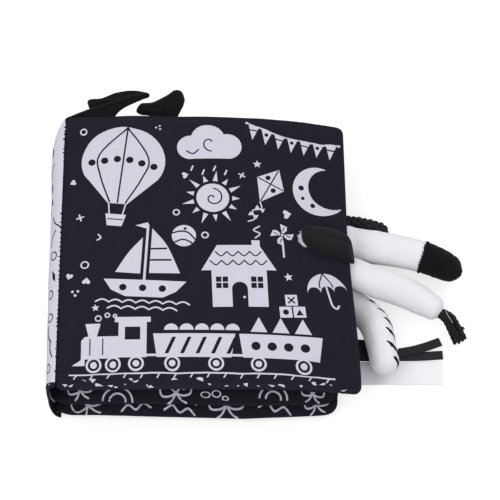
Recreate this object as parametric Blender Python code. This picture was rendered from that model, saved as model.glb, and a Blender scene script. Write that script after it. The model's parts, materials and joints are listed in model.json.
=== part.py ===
"""Soft cloth book for a baby: padded covers and leaves, a cloth spine, and tails and ribbons on its edges.

The closed book lies on its back cover. X runs from the spine to the fore edge, Y along the spine,
Z up. The origin lies in the flat underside of the back cover, near its middle.
"""

import math

import bmesh
import bpy

# Driving dimensions of the book, in metres
page_height = 0.200
page_width = 0.190
cover_width = 0.192
cover_right = 0.1035
spine_bulge = 0.0102
corner_radius = 0.010

# How far each panel's cloth stands below and above its edge seam
back_below = 0.0060
back_above = 0.0058
leaf_2_below = 0.0078
leaf_2_above = 0.0082
leaf_1_below = 0.0088
leaf_1_above = 0.0042
cover_below = 0.0050
cover_above = 0.0045

# Cloth, wadding and the gaps between pieces
cloth_thickness = 0.0008
film_thickness = 0.0005
spine_thickness = 0.0016
seam_width = 0.0024
seam_gap = 0.0003
layer_gap = 0.0003
panel_gap = 0.0009
swing_gap = 0.0007
spine_lift = 0.0005

# The right half of the stack is pressed flat, more at the head of the book than at its foot
droop_start = -0.020
foot_droop_share = 0.26
head_droop_share = 0.34
droop_power = 2.2

# Plush, and the round mouth at the root of each tail
plush_thickness = 0.0011
mouth_radius = 0.0018

# Tails: how far the root lies from the foot of the book, the height of the axis past the root, and
# the headings at root and tip, in degrees from the way that the fore edge faces
long_tail_length = 0.0869
long_tail_half_width = 0.0120
long_tail_half_height = 0.0114
long_tail_from_foot = 0.1207
long_tail_axis_z = 0.0155
long_tail_headings = (-5, -37)
long_tail_tip_share = 0.68
long_tail_narrowing_share = 0.16
tassel_tail_length = 0.0759
tassel_tail_half_width = 0.0109
tassel_tail_half_height = 0.0100
tassel_tail_from_foot = 0.0942
tassel_tail_axis_z = 0.0150
tassel_tail_headings = (-2, -49)
striped_tail_length = 0.0716
striped_tail_half_width = 0.0094
striped_tail_half_height = 0.0092
striped_tail_from_foot = 0.0845
striped_tail_axis_z = 0.0130
striped_tail_dip = 0.0038
striped_tail_headings = (-3, -84)
bumpy_tail_length = 0.0370
bumpy_tail_half_width = 0.0075
bumpy_tail_half_height = 0.0058
bumpy_tail_from_foot = 0.1385
bumpy_tail_axis_z = 0.0070
bumpy_tail_headings = (4, -26)

# The cords of the tassel
tassel_length = 0.0215
tassel_radius = 0.0042
tassel_rest_z = 0.0067
tassel_headings = (-46, -72)
tassel_strands = 7
strand_depth_share = 0.14

# The tail folded over the front of the book, with its fur tip
folded_tail_length = 0.0355
folded_tail_half_width = 0.0108
folded_tail_thickness = 0.0078
folded_tail_root_thickness = 0.0022
folded_tail_from_foot = 0.1070
folded_tip_share = 0.93
folded_fur_end_share = 0.985
folded_point_share = 0.34
folded_rise_share = 0.55
folded_round_share = 0.25
folded_tail_slope_share = 0.06

# Ribbons that lie on the table
ribbon_thickness = 0.0005
narrow_ribbon_half_width = 0.00315
narrow_ribbon_length = 0.0580
upper_ribbon_headings = (-2, 21)
lower_ribbon_headings = (-2, 2)
upper_ribbon_z = 0.0017
lower_ribbon_z = 0.0010
ribbon_root_from_foot = 0.0420
ribbon_start_share = 0.45
ribbon_tab_length = 0.0200
ribbon_tab_half_width = 0.0078
ribbon_tab_from_foot = 0.0460
ribbon_tab_z = 0.0025
ribbon_tab_headings = (0, -4)
satin_length = 0.0672
satin_half_width = 0.0083
satin_from_foot = 0.0300
satin_z = 0.0003
satin_headings = (0, -1)

# Cloth flap and stuffed tail on the top edge
flap_past_seam = 0.0007
flap_width = 0.0575
flap_reach = 0.0285
flap_layer = 0.0016
flap_overlap = 0.0002
top_tail_from_spine = 0.0698
top_tail_headings = (96, 56)
top_lobe_headings = (178, 170)
top_tail_length = 0.0305
top_tail_half_width = 0.0084
top_tail_half_height = 0.0070
top_lobe_length = 0.0225
top_lobe_half_width = 0.0042
top_lobe_half_height = 0.0034
top_lobe_root_share = 0.34

# Curves of the forms: higher powers hold a surface full for longer before it rounds over
crown_power = 5
crown_flat_share = 1.05
corner_power = 10
spine_power = 4
spine_end_share = 0.22
spine_end_power = 12
sharp_angle = 50

# Mesh counts
panel_cells = 8
spine_cells = 6
spine_lengths = 10
tail_sides = 12
tail_rings = 11
folded_cells = 6
ribbon_cells = 8


for old in list(bpy.data.objects):
    bpy.data.objects.remove(old, do_unlink=True)


# Heights of the stack, from the table up
back_seam_z = back_below
leaf_2_base_z = back_seam_z + back_above + panel_gap
leaf_2_seam_z = leaf_2_base_z + leaf_2_below
leaf_1_base_z = leaf_2_seam_z + leaf_2_above + panel_gap
leaf_1_seam_z = leaf_1_base_z + leaf_1_below
cover_base_z = leaf_1_seam_z + leaf_1_above + panel_gap
cover_seam_z = cover_base_z + cover_below
half_height = page_height / 2
seam_half = seam_gap / 2 + cloth_thickness

# Places of the tails and ribbons along the fore edge
long_tail_y = long_tail_from_foot - half_height
tassel_tail_y = tassel_tail_from_foot - half_height
striped_tail_y = striped_tail_from_foot - half_height
bumpy_tail_y = bumpy_tail_from_foot - half_height
folded_tail_y = folded_tail_from_foot - half_height
ribbon_root_y = ribbon_root_from_foot - half_height
ribbon_tab_y = ribbon_tab_from_foot - half_height
satin_y = satin_from_foot - half_height

# The spine's cross-section: a bulge between the covers' left seams
cover_left = cover_right - cover_width
spine_seam_x = cover_left - layer_gap
spine_top_z = cover_seam_z + seam_half
spine_middle_z = (spine_top_z + spine_lift) / 2
spine_half_z = (spine_top_z - spine_lift) / 2
hinge_x = spine_seam_x - spine_bulge - layer_gap


def sag(x, y):
    """Share of its height that a point of the stack keeps."""
    along = min(max((x - droop_start) / (cover_right - droop_start), 0), 1)
    across = min(max((y + half_height) / page_height, 0), 1)
    deepest_share = foot_droop_share + (head_droop_share - foot_droop_share) * across
    return 1 - deepest_share * along**droop_power


def spine_reach(z, inset):
    """How far left of the cover's seam the spine's surface lies at a height."""
    share = min(abs(z - spine_middle_z) / (spine_half_z - inset), 1)
    return (spine_bulge - inset) * math.sqrt(1 - share**spine_power)


def tapered(share, tip_share):
    """Share of its half width that a form keeps along its length, up to a round tip."""
    past = max(share - 1 + tip_share, 0) / tip_share
    return math.sqrt(max(1 - past**2, 0))


def rounded(share, root_share, tip_share):
    """The same for a stuffed form, which also swells from its root."""
    return math.sin(math.pi / 2 * min(share / root_share, 1)) * tapered(share, tip_share)


def link(name, mesh):
    thing = bpy.data.objects.new(name, mesh)
    bpy.context.scene.collection.objects.link(thing)
    return thing


def mesh_object(name, points, faces):
    mesh = bpy.data.meshes.new(name)
    mesh.from_pydata(points, [], faces)
    mesh.validate()
    mesh.shade_smooth()
    mesh.set_sharp_from_angle(angle=math.radians(sharp_angle))
    return link(name, mesh)


def paint(thing, colour, roughness, metallic=0.0):
    material = bpy.data.materials.new(thing.name)
    material.use_nodes = True
    shader = material.node_tree.nodes["Principled BSDF"]
    shader.inputs["Base Color"].default_value = (*colour, 1)
    shader.inputs["Roughness"].default_value = roughness
    shader.inputs["Metallic"].default_value = metallic
    thing.data.materials.append(material)
    return thing


black_cloth = (0.018, 0.018, 0.024)
black_plush = (0.010, 0.010, 0.012)
white_cloth = (0.64, 0.63, 0.70)
white_plush = (0.80, 0.80, 0.84)
wadding = (0.85, 0.85, 0.83)
satin = (0.70, 0.71, 0.75)


def pivot(name, place, carrier=None):
    """An empty on a joint's axis; its own carrier is the pivot of the body that holds it."""
    hinge = link(name, None)
    hinge["place"] = place
    start = carrier["place"] if carrier else (0, 0, 0)
    hinge.location = [a - b for a, b in zip(place, start)]
    hinge.parent = carrier
    return hinge


def attach(things, hinge):
    """Hangs pieces whose meshes are drawn in the book's frame on a pivot."""
    for thing in things:
        thing.parent = hinge
        thing.location = [-value for value in hinge["place"]]


def grid_solid(name, high, low, lines_u, lines_v):
    """A closed body between two surfaces over the same grid."""
    rows, columns = len(lines_u), len(lines_v)
    points = [surface(u, v) for surface in (high, low) for u in lines_u for v in lines_v]
    half = rows * columns
    faces = []

    def quad(a, b, c, d):
        faces.extend([(a, b, c), (a, c, d)])

    for i in range(rows - 1):
        for j in range(columns - 1):
            a, b = i * columns + j, (i + 1) * columns + j
            quad(a, b, b + 1, a + 1)
            faces.append((half + a, half + b + 1, half + b))
            faces.append((half + a, half + a + 1, half + b + 1))
    for i in range(rows - 1):
        a, b = i * columns, (i + 1) * columns
        quad(a, half + a, half + b, b)
        a, b = a + columns - 1, b + columns - 1
        quad(b, half + b, half + a, a)
    for j in range(columns - 1):
        quad(j + 1, half + j + 1, half + j, j)
        a = (rows - 1) * columns + j
        quad(a, half + a, half + a + 1, a + 1)
    return mesh_object(name, points, faces)


def edge_lines(cells, rim_share):
    """Grid lines from -1 to 1, closer together near the edges, with one line at the inside of the rim."""
    inner = [
        (1 - rim_share) * math.sin(math.pi / 2 * (2 * i / cells - 1)) for i in range(cells + 1)
    ]
    return [-1, *inner, 1] if rim_share else inner


def puff(u, v):
    """Share of the full crown: flat in the middle, rounded down to nothing at the seam."""
    across = max(1 - abs(u) ** crown_power, 0)
    along = max(1 - abs(v) ** crown_power, 0)
    return min(1, crown_flat_share * math.sqrt(across * along))


class Panel:
    """One padded panel of the book: its outline and the heights of its two faces."""

    def __init__(self, left, width, seam_z, below, above):
        self.middle = left + width / 2
        self.half_width = width / 2
        self.right = left + width
        self.seam_z, self.below, self.above = seam_z, below, above

    def outline(self, u, v):
        corner = corner_radius * (1 - math.cos(math.pi / 4)) * abs(u * v) ** corner_power
        x = self.middle + u * self.half_width - math.copysign(corner, u)
        y = v * half_height - math.copysign(corner, v)
        return x, y

    def crown(self, u, v):
        """Share of the crown at a place of the outline: none on the flat rim of the seam."""
        across = abs(u) * self.half_width / (self.half_width - seam_width)
        along = abs(v) * half_height / (half_height - seam_width)
        return puff(min(across, 1), min(along, 1))

    def point(self, u, v, side, depth):
        """A point of a face, or at a depth inside it. side is 1 for the upper face, -1 for the lower."""
        x, y = self.outline(u, v)
        rise = (self.above if side > 0 else self.below) - seam_half
        z = self.seam_z + side * (seam_half + rise * self.crown(u, v) - depth)
        return x, y, z * sag(x, y)

    def top_z(self, x, y):
        u, v = (x - self.middle) / self.half_width, y / half_height
        return self.point(u, v, 1, 0)[2]

    def seam_at(self, y):
        return self.seam_z * sag(self.right, y)

    def lines(self):
        """The grid lines that a panel's cloth and its filling share, across and along the book."""
        return (
            edge_lines(panel_cells, seam_width / self.half_width),
            edge_lines(panel_cells, seam_width / half_height),
        )

    def sheet(self, name, side):
        depths = (0, cloth_thickness) if side > 0 else (cloth_thickness, 0)
        return grid_solid(
            name,
            lambda u, v: self.point(u, v, side, depths[0]),
            lambda u, v: self.point(u, v, side, depths[1]),
            *self.lines(),
        )

    def filling(self, name, low_share, high_share):
        """Wadding or film inside the cloth, between two shares of the free height there."""

        def level(share):
            def at(u, v):
                floor = self.point(u, v, -1, cloth_thickness + layer_gap)
                ceiling = self.point(u, v, 1, cloth_thickness + layer_gap)
                return (*floor[:2], floor[2] + (ceiling[2] - floor[2]) * share)

            return at

        inside = [across[2:-2] for across in self.lines()]
        return grid_solid(name, level(high_share), level(low_share), *inside)


def left_edge(seam_z):
    """Where a seam's rim stops short of the spine, whose inner face slopes across the rim's height."""
    rim = (seam_z - seam_half, seam_z + seam_half)
    return spine_seam_x - min(spine_reach(z, spine_thickness) for z in rim) + 2 * layer_gap


back_panel = Panel(left_edge(back_seam_z), page_width, back_seam_z, back_below, back_above)
leaf_2_panel = Panel(left_edge(leaf_2_seam_z), page_width, leaf_2_seam_z, leaf_2_below, leaf_2_above)
leaf_1_panel = Panel(left_edge(leaf_1_seam_z), page_width, leaf_1_seam_z, leaf_1_below, leaf_1_above)
cover_panel = Panel(cover_left, cover_width, cover_seam_z, cover_below, cover_above)

# Hinge lines run along the spine's outer face, half-way between one panel and the next
leaf_2_hinge_z = leaf_2_base_z - panel_gap / 2
leaf_1_hinge_z = leaf_1_base_z - panel_gap / 2
cover_hinge_z = cover_base_z - panel_gap / 2
book_root = pivot("book_root", (0, 0, 0))
leaf_2_hinge = pivot("leaf_2_hinge", (hinge_x, 0, leaf_2_hinge_z), book_root)
leaf_1_hinge = pivot("leaf_1_hinge", (hinge_x, 0, leaf_1_hinge_z), leaf_2_hinge)
cover_hinge = pivot("front_cover_hinge", (hinge_x, 0, cover_hinge_z), leaf_1_hinge)


def padded_panel(panel, prefix, upper, lower, hinge, film=False):
    """Two cloth faces sewn together round a pad, with a crinkle film on the pad of a leaf."""
    pieces = [
        paint(panel.sheet(f"{prefix}_{upper}_cloth", 1), black_cloth, 0.85),
        paint(panel.sheet(f"{prefix}_{lower}_cloth", -1), black_cloth, 0.85),
    ]
    pad_top_share = 1
    if film:
        crown_height = panel.above + panel.below - 2 * (cloth_thickness + layer_gap)
        film_share = film_thickness / crown_height
        pad_top_share = 1 - film_share - layer_gap / crown_height * 2
        film_piece = panel.filling(f"{prefix}_crinkle_film", 1 - film_share, 1)
        pieces.append(paint(film_piece, (0.75, 0.77, 0.80), 0.3))
    pad = panel.filling(f"{prefix}_pad", 0, pad_top_share)
    pieces.append(paint(pad, wadding, 0.95))
    attach(pieces, hinge)


padded_panel(cover_panel, "front_cover", "outer", "inner", cover_hinge)
padded_panel(leaf_1_panel, "leaf_1", "upper", "lower", leaf_1_hinge, film=True)
padded_panel(leaf_2_panel, "leaf_2", "upper", "lower", leaf_2_hinge, film=True)
padded_panel(back_panel, "back_cover", "inner", "outer", book_root)


def spine_strip(name, low_z, high_z, hinge):
    """The length of spine cloth that one panel carries, between two hinge lines."""
    lines_z = [i / spine_cells for i in range(spine_cells + 1)]
    lines_y = edge_lines(spine_lengths, 0)
    strip_half = half_height - seam_width

    def surface(inset):
        bottom = max(low_z, spine_lift + inset)
        top = min(high_z, spine_top_z - inset)

        def at(w, v):
            z = bottom + (top - bottom) * w
            kept_share = 1 - spine_end_share * abs(v) ** spine_end_power
            return spine_seam_x - spine_reach(z, inset) * kept_share, v * strip_half, z

        return at

    strip = grid_solid(name, surface(0), surface(spine_thickness), lines_z, lines_y)
    attach([paint(strip, white_cloth, 0.85)], hinge)


strip_gap = layer_gap / 2
spine_strip("back_spine_cloth", spine_lift, leaf_2_hinge_z - strip_gap, book_root)
spine_strip("leaf_2_spine_cloth", leaf_2_hinge_z + strip_gap, leaf_1_hinge_z - strip_gap, leaf_2_hinge)
spine_strip("leaf_1_spine_cloth", leaf_1_hinge_z + strip_gap, cover_hinge_z - strip_gap, leaf_1_hinge)
spine_strip("front_spine_cloth", cover_hinge_z + strip_gap, spine_top_z, cover_hinge)


class Tail:
    """A stuffed tail: a level path that turns steadily, and its half width and half height."""

    steps = 60
    full_height_share = 0.35
    dip_span_share = 0.5

    def __init__(self, root, length, headings, half_width, half_height, axis_z, turn_power=1.0,
                 root_share=0.24, side_root_share=None, tip_share=0.16, narrowing_share=0,
                 droop_share=0.22, root_height_share=0.75, dip=0):
        self.root, self.length = root, length
        self.headings = [math.radians(angle) for angle in headings]
        self.half_width, self.half_height = half_width, half_height
        self.axis_z, self.turn_power = axis_z, turn_power
        self.root_share, self.side_root_share = root_share, side_root_share or root_share
        self.tip_share, self.narrowing_share = tip_share, narrowing_share
        self.droop_share, self.root_height_share, self.dip = droop_share, root_height_share, dip

    def heading(self, share):
        start, end = self.headings
        return start + (end - start) * max(share, 0) ** self.turn_power

    def place(self, share):
        """The path's point at a share of its length, by adding short straight steps."""
        x, y, z = self.root
        count = max(1, round(self.steps * share))
        for i in range(count):
            angle = self.heading(share * (i + 0.5) / count)
            x += math.cos(angle) * self.length * share / count
            y += math.sin(angle) * self.length * share / count
        settle = min(share / self.droop_share, 1)
        settle = settle * settle * (3 - 2 * settle)
        duck = math.sin(math.pi * min(share / self.dip_span_share, 1)) ** 2
        return x, y, z + (self.axis_z - z) * settle - self.dip * duck

    def ring(self, share, depth, sides, wave=None):
        """One closed ring of points square to the path, at a depth under the surface."""
        x, y, z = self.place(share)
        angle = self.heading(share)
        narrow_share = 1 - self.narrowing_share * share
        side_swell = rounded(share, self.side_root_share, self.tip_share) * narrow_share
        swell = rounded(share, self.root_share, self.tip_share) * narrow_share
        grown = min(share / self.full_height_share, 1)
        grow_share = self.root_height_share + (1 - self.root_height_share) * grown
        wide = mouth_radius + (self.half_width - mouth_radius) * side_swell - depth
        high = mouth_radius + (self.half_height * grow_share - mouth_radius) * swell - depth
        points = []
        for i in range(sides):
            turn = 2 * math.pi * i / sides
            lobe = wave(turn) if wave else 1
            side, rise = wide * math.cos(turn) * lobe, high * math.sin(turn) * lobe
            points.append((x - math.sin(angle) * side, y + math.cos(angle) * side, z + rise))
        return points


def spaced(start, end, count):
    """Shares from start to end, closer together near both ends."""
    return [start + (end - start) * (1 - math.cos(math.pi * i / count)) / 2 for i in range(count + 1)]


def loft_faces(rings, sides, flip=False):
    faces = []
    for k in range(rings - 1):
        for i in range(sides):
            a, b = k * sides + i, k * sides + (i + 1) % sides
            c, d = b + sides, a + sides
            faces.extend([(a, b, c), (a, c, d)] if not flip else [(a, d, c), (a, c, b)])
    return faces


def bore(tail, start, end, close_tip=True, rings=tail_rings):
    """Shares of the length at which the inside of the plush has its rings."""
    return spaced(start, end - plush_thickness / tail.length if close_tip else end, rings)


def plush_tube(name, tail, start, end, close_tip=True, rings=tail_rings, sides=tail_sides):
    """Plush of even thickness round a bore: open at its start, and at its end unless that is the tip."""
    outer = [tail.ring(s, 0, sides) for s in spaced(start, end, rings)]
    inner = [tail.ring(s, plush_thickness, sides) for s in bore(tail, start, end, close_tip, rings)]
    points = [point for ring in outer + inner for point in ring]
    count = len(outer)
    half = count * sides
    faces = loft_faces(count, sides)
    faces += [tuple(half + index for index in face) for face in loft_faces(count, sides, flip=True)]
    for i in range(sides):
        j = (i + 1) % sides
        faces.extend([(j, i, half + i), (j, half + i, half + j)])
    last = (count - 1) * sides
    if close_tip:
        faces.append(tuple(last + i for i in range(sides)))
        faces.append(tuple(half + last + i for i in reversed(range(sides))))
    else:
        for i in range(sides):
            j = (i + 1) % sides
            faces.append((last + i, last + j, half + last + j))
            faces.append((last + i, half + last + j, half + last + i))
    return mesh_object(name, points, faces)


def solid_tube(name, tail, shares, depth, sides=tail_sides, wave=None):
    """A stuffed or corded form, closed at both ends."""
    points = [p for share in shares for p in tail.ring(share, depth, sides, wave)]
    faces = loft_faces(len(shares), sides)
    last = (len(shares) - 1) * sides
    faces.append(tuple(reversed(range(sides))))
    faces.append(tuple(last + i for i in range(sides)))
    return mesh_object(name, points, faces)


def stuffing(name, tail, *stretches):
    """The filling of a tail: it follows the rings of its plush and stops short of the tip."""
    shares = [share for stretch in stretches for share in stretch][:-1]
    return paint(solid_tube(name, tail, shares, plush_thickness + layer_gap), wadding, 0.95)


def edge_root(panel, y, gap):
    return panel.right + gap, y, panel.seam_at(y)


# Two tails on leaf 1 lift about the top of their roots
long_tail = Tail(edge_root(leaf_1_panel, long_tail_y, layer_gap), long_tail_length,
                 long_tail_headings, long_tail_half_width, long_tail_half_height, long_tail_axis_z,
                 turn_power=2.0, side_root_share=0.11, tip_share=0.30,
                 narrowing_share=long_tail_narrowing_share, droop_share=0.15)
tassel_tail = Tail(edge_root(leaf_1_panel, tassel_tail_y, layer_gap), tassel_tail_length,
                   tassel_tail_headings, tassel_tail_half_width, tassel_tail_half_height,
                   tassel_tail_axis_z, turn_power=1.5, side_root_share=0.13, tip_share=0.42,
                   droop_share=0.34, root_height_share=0.45)
# Two on leaf 2 swing sideways about the middle of their roots
striped_tail = Tail(edge_root(leaf_2_panel, striped_tail_y, swing_gap), striped_tail_length,
                    striped_tail_headings, striped_tail_half_width, striped_tail_half_height,
                    striped_tail_axis_z, turn_power=0.34, root_share=0.30, root_height_share=0.50,
                    dip=striped_tail_dip)
bumpy_tail = Tail(edge_root(leaf_2_panel, bumpy_tail_y, swing_gap), bumpy_tail_length,
                  bumpy_tail_headings, bumpy_tail_half_width, bumpy_tail_half_height,
                  bumpy_tail_axis_z, tip_share=0.22)


def lift_pivot(name, tail, carrier):
    x, y, z = tail.root
    return pivot(name, (x, y, z + mouth_radius), carrier)


def swing_pivot(name, tail, panel, carrier):
    x, y, z = tail.root
    return pivot(name, (panel.right, y, z), carrier)


joint_share = seam_gap / 2 / long_tail_length
white_stretch = (long_tail, 0, long_tail_tip_share - joint_share, False, 9)
black_stretch = (long_tail, long_tail_tip_share + joint_share, 1, True, 7)
attach(
    [
        paint(plush_tube("long_tail_plush", *white_stretch), white_plush, 0.95),
        paint(plush_tube("long_tail_tip", *black_stretch), black_plush, 0.95),
        stuffing("long_tail_stuffing", long_tail, bore(*white_stretch), bore(*black_stretch)),
    ],
    lift_pivot("long_tail_pivot", long_tail, leaf_1_hinge),
)

end_x, end_y, end_z = tassel_tail.place(1)
end_heading = tassel_tail.heading(1)
tassel_root = (
    end_x + layer_gap * math.cos(end_heading),
    end_y + layer_gap * math.sin(end_heading),
    end_z,
)
tassel = Tail(tassel_root, tassel_length, tassel_headings, tassel_radius, tassel_radius, tassel_rest_z,
              root_share=0.5, tip_share=0.05, droop_share=1.0, root_height_share=1)


def strands(turn):
    """The outline of a bundle of cords, one lobe for each cord."""
    return 1 + strand_depth_share * math.cos(tassel_strands * turn)


attach(
    [
        paint(plush_tube("tassel_tail_plush", tassel_tail, 0, 1), white_plush, 0.95),
        stuffing("tassel_tail_stuffing", tassel_tail, bore(tassel_tail, 0, 1)),
        paint(
            solid_tube("tassel_cords", tassel, spaced(0, 1, 6), 0, 3 * tassel_strands, strands),
            black_plush,
            0.8,
        ),
    ],
    lift_pivot("tassel_tail_pivot", tassel_tail, leaf_1_hinge),
)

attach(
    [
        paint(plush_tube("striped_tail_plush", striped_tail, 0, 1), white_plush, 0.95),
        stuffing("striped_tail_stuffing", striped_tail, bore(striped_tail, 0, 1)),
    ],
    swing_pivot("striped_tail_pivot", striped_tail, leaf_2_panel, leaf_2_hinge),
)
attach(
    [
        paint(plush_tube("bumpy_tail_plush", bumpy_tail, 0, 1, rings=8), black_plush, 0.95),
        stuffing("bumpy_tail_stuffing", bumpy_tail, bore(bumpy_tail, 0, 1, rings=8)),
    ],
    swing_pivot("bumpy_tail_pivot", bumpy_tail, leaf_2_panel, leaf_2_hinge),
)


def folded_surface(start, end, side):
    """The folded tail's upper or lower surface over a stretch of its length, from the fore edge inwards."""

    def at(u, v):
        share = start + (end - start) * (u + 1) / 2
        half = folded_tail_half_width * tapered(share, folded_point_share)
        x = cover_panel.right - layer_gap - folded_tail_length * share
        y = folded_tail_y + folded_tail_length * folded_tail_slope_share * share + v * half
        bottom = cover_panel.top_z(min(x, cover_panel.right), y) + seam_gap * 2
        swell = math.sqrt(max(1 - v**4, 0)) * rounded(share, folded_rise_share, folded_round_share)
        body = folded_tail_thickness - folded_tail_root_thickness
        return x, y, bottom + (folded_tail_root_thickness + body * swell if side > 0 else 0)

    return at


def folded_piece(name, start, end, colour):
    high = folded_surface(end, start, 1)
    low = folded_surface(end, start, -1)
    lines_u = spaced(-1, 1, folded_cells)
    lines_v = edge_lines(folded_cells, 0)
    return paint(grid_solid(name, high, low, lines_u, lines_v), colour, 0.95)


folded_gap_share = seam_gap / 2 / folded_tail_length
folded_hinge = pivot(
    "folded_tail_pivot",
    (cover_panel.right + layer_gap, folded_tail_y, cover_panel.top_z(cover_panel.right, folded_tail_y)),
    cover_hinge,
)
attach(
    [
        folded_piece("folded_tail_plush", 0, folded_tip_share - folded_gap_share, black_plush),
        folded_piece(
            "folded_tail_fur_tip", folded_tip_share + folded_gap_share, folded_fur_end_share, white_plush
        ),
    ],
    folded_hinge,
)


def ribbon(name, root, length, half_width, headings, rest_z, colour, thickness, root_share):
    """A flat ribbon: from a round root at the seam down to the height where it lies."""
    path = Tail(root, length, headings, half_width, half_width, rest_z, droop_share=0.16,
                root_share=root_share)
    lines_u = spaced(0, 1, ribbon_cells)

    def surface(rise):
        def at(u, v):
            x, y, z = path.place(u)
            angle = path.heading(u)
            swell = math.sin(math.pi / 2 * min(u / root_share, 1))
            half = mouth_radius + (half_width - mouth_radius) * swell
            return x - math.sin(angle) * v * half, y + math.cos(angle) * v * half, z + rise

        return at

    piece = grid_solid(name, surface(thickness), surface(0), lines_u, (-1, -0.5, 0, 0.5, 1))
    return paint(piece, colour, 0.4)


tab_z = back_panel.seam_at(ribbon_tab_y)
tab_root = (back_panel.right + swing_gap, ribbon_tab_y, tab_z)
tab = ribbon("ribbon_tab", tab_root, ribbon_tab_length, ribbon_tab_half_width, ribbon_tab_headings,
             ribbon_tab_z, black_cloth, cloth_thickness, root_share=0.38)
narrow_x = back_panel.right + ribbon_start_share * ribbon_tab_length
narrow_start = (narrow_x, ribbon_root_y, upper_ribbon_z)
upper_ribbon = ribbon("upper_narrow_ribbon", narrow_start, narrow_ribbon_length,
                      narrow_ribbon_half_width, upper_ribbon_headings, upper_ribbon_z, black_cloth,
                      ribbon_thickness, root_share=0.05)
lower_start = (narrow_x, ribbon_root_y, lower_ribbon_z)
lower_ribbon = ribbon("lower_narrow_ribbon", lower_start, narrow_ribbon_length,
                      narrow_ribbon_half_width, lower_ribbon_headings, lower_ribbon_z, black_cloth,
                      ribbon_thickness, root_share=0.05)
attach(
    [tab, upper_ribbon, lower_ribbon],
    pivot("narrow_ribbons_pivot", (back_panel.right, ribbon_tab_y, tab_z), book_root),
)

satin_root_z = back_panel.seam_at(satin_y)
satin_root = (back_panel.right + swing_gap, satin_y, satin_root_z)
satin_piece = ribbon("satin_ribbon", satin_root, satin_length, satin_half_width, satin_headings, satin_z,
                     satin, ribbon_thickness, root_share=0.13)
attach(
    [satin_piece],
    pivot("satin_ribbon_pivot", (back_panel.right, satin_y, satin_root_z), book_root),
)


# The cloth flap's outline, in shares of its width and reach, from its left root round to its right
flap_outline_shares = (
    (0, 0), (0.10, 0.27), (0.27, 0.49), (0.25, 0.68), (0.38, 0.74), (0.55, 0.92),
    (0.76, 1.0), (0.93, 0.96), (1.0, 0.87), (0.82, 0.66), (0.68, 0.48), (0.60, 0.28), (0.60, 0),
)
fold_outline_shares = (
    (0.06, 0.02), (0.16, 0.26), (0.34, 0.50), (0.55, 0.71), (0.78, 0.84), (0.95, 0.88),
    (0.80, 0.68), (0.66, 0.50), (0.57, 0.28), (0.56, 0.02),
)
flap_left = spine_seam_x - flap_past_seam
flap_root_y = half_height + layer_gap
flap_z = leaf_1_seam_z - flap_layer


def flat_cloth(name, outline_shares, low_z):
    """A flat layer of cloth cut to an outline, with softened edges."""
    shape = bmesh.new()
    corners = [
        shape.verts.new((flap_left + flap_width * across, flap_root_y + flap_reach * out, low_z))
        for across, out in outline_shares
    ]
    face = shape.faces.new(reversed(corners))
    raised = bmesh.ops.extrude_face_region(shape, geom=[face])
    top = [item for item in raised["geom"] if isinstance(item, bmesh.types.BMVert)]
    bmesh.ops.translate(shape, verts=top, vec=(0, 0, flap_layer))
    bmesh.ops.recalc_face_normals(shape, faces=shape.faces)
    mesh = bpy.data.meshes.new(name)
    shape.to_mesh(mesh)
    shape.free()
    return link(name, mesh)


def fuse(thing, other, name):
    """Joins another closed body to this one and keeps it out of the model."""
    other.hide_render = True
    other.display_type = "WIRE"
    union = thing.modifiers.new(name, "BOOLEAN")
    union.operation = "UNION"
    union.object = other
    return thing


flap_top_z = flap_z + 2 * flap_layer
flap_hinge = pivot("top_flap_pivot", (flap_left + flap_width / 2, flap_root_y, flap_top_z), leaf_1_hinge)
flap = flat_cloth("top_flap", flap_outline_shares, flap_z)
fold_layer = flat_cloth("top_flap_fold_guide", fold_outline_shares, flap_z + flap_layer - flap_overlap)
fuse(flap, fold_layer, "folded layer")
attach([paint(flap, black_plush, 0.9), fold_layer], flap_hinge)

top_tail_root = (spine_seam_x + top_tail_from_spine, half_height + layer_gap, leaf_1_seam_z)
top_tail = Tail(top_tail_root, top_tail_length, top_tail_headings, top_tail_half_width,
                top_tail_half_height, leaf_1_seam_z, root_share=0.30, tip_share=0.30)
lobe_x, lobe_y, lobe_z = top_tail.place(top_lobe_root_share)
top_lobe = Tail((lobe_x, lobe_y, lobe_z), top_lobe_length, top_lobe_headings, top_lobe_half_width,
                top_lobe_half_height, lobe_z, tip_share=0.2, root_height_share=1)
top_piece = solid_tube("top_tail", top_tail, spaced(0, 1, 9), 0)
lobe_piece = solid_tube("top_tail_lobe_guide", top_lobe, spaced(0, 1, 7), 0)
fuse(top_piece, lobe_piece, "side lobe")
attach(
    [paint(top_piece, black_plush, 0.9), lobe_piece],
    lift_pivot("top_tail_pivot", top_tail, leaf_1_hinge),
)
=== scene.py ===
"""Soft cloth book for a baby: padded printed covers and leaves, a white spine, plush tails and ribbons.

Everything is in metres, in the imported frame. Prints are drawn in millimetres from the middle of a cloth.
"""

import json
import math
import random

import bmesh
import bpy
import numpy as np
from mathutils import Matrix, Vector, noise
from mathutils.bvhtree import BVHTree
from mathutils.geometry import delaunay_2d_cdt


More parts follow.
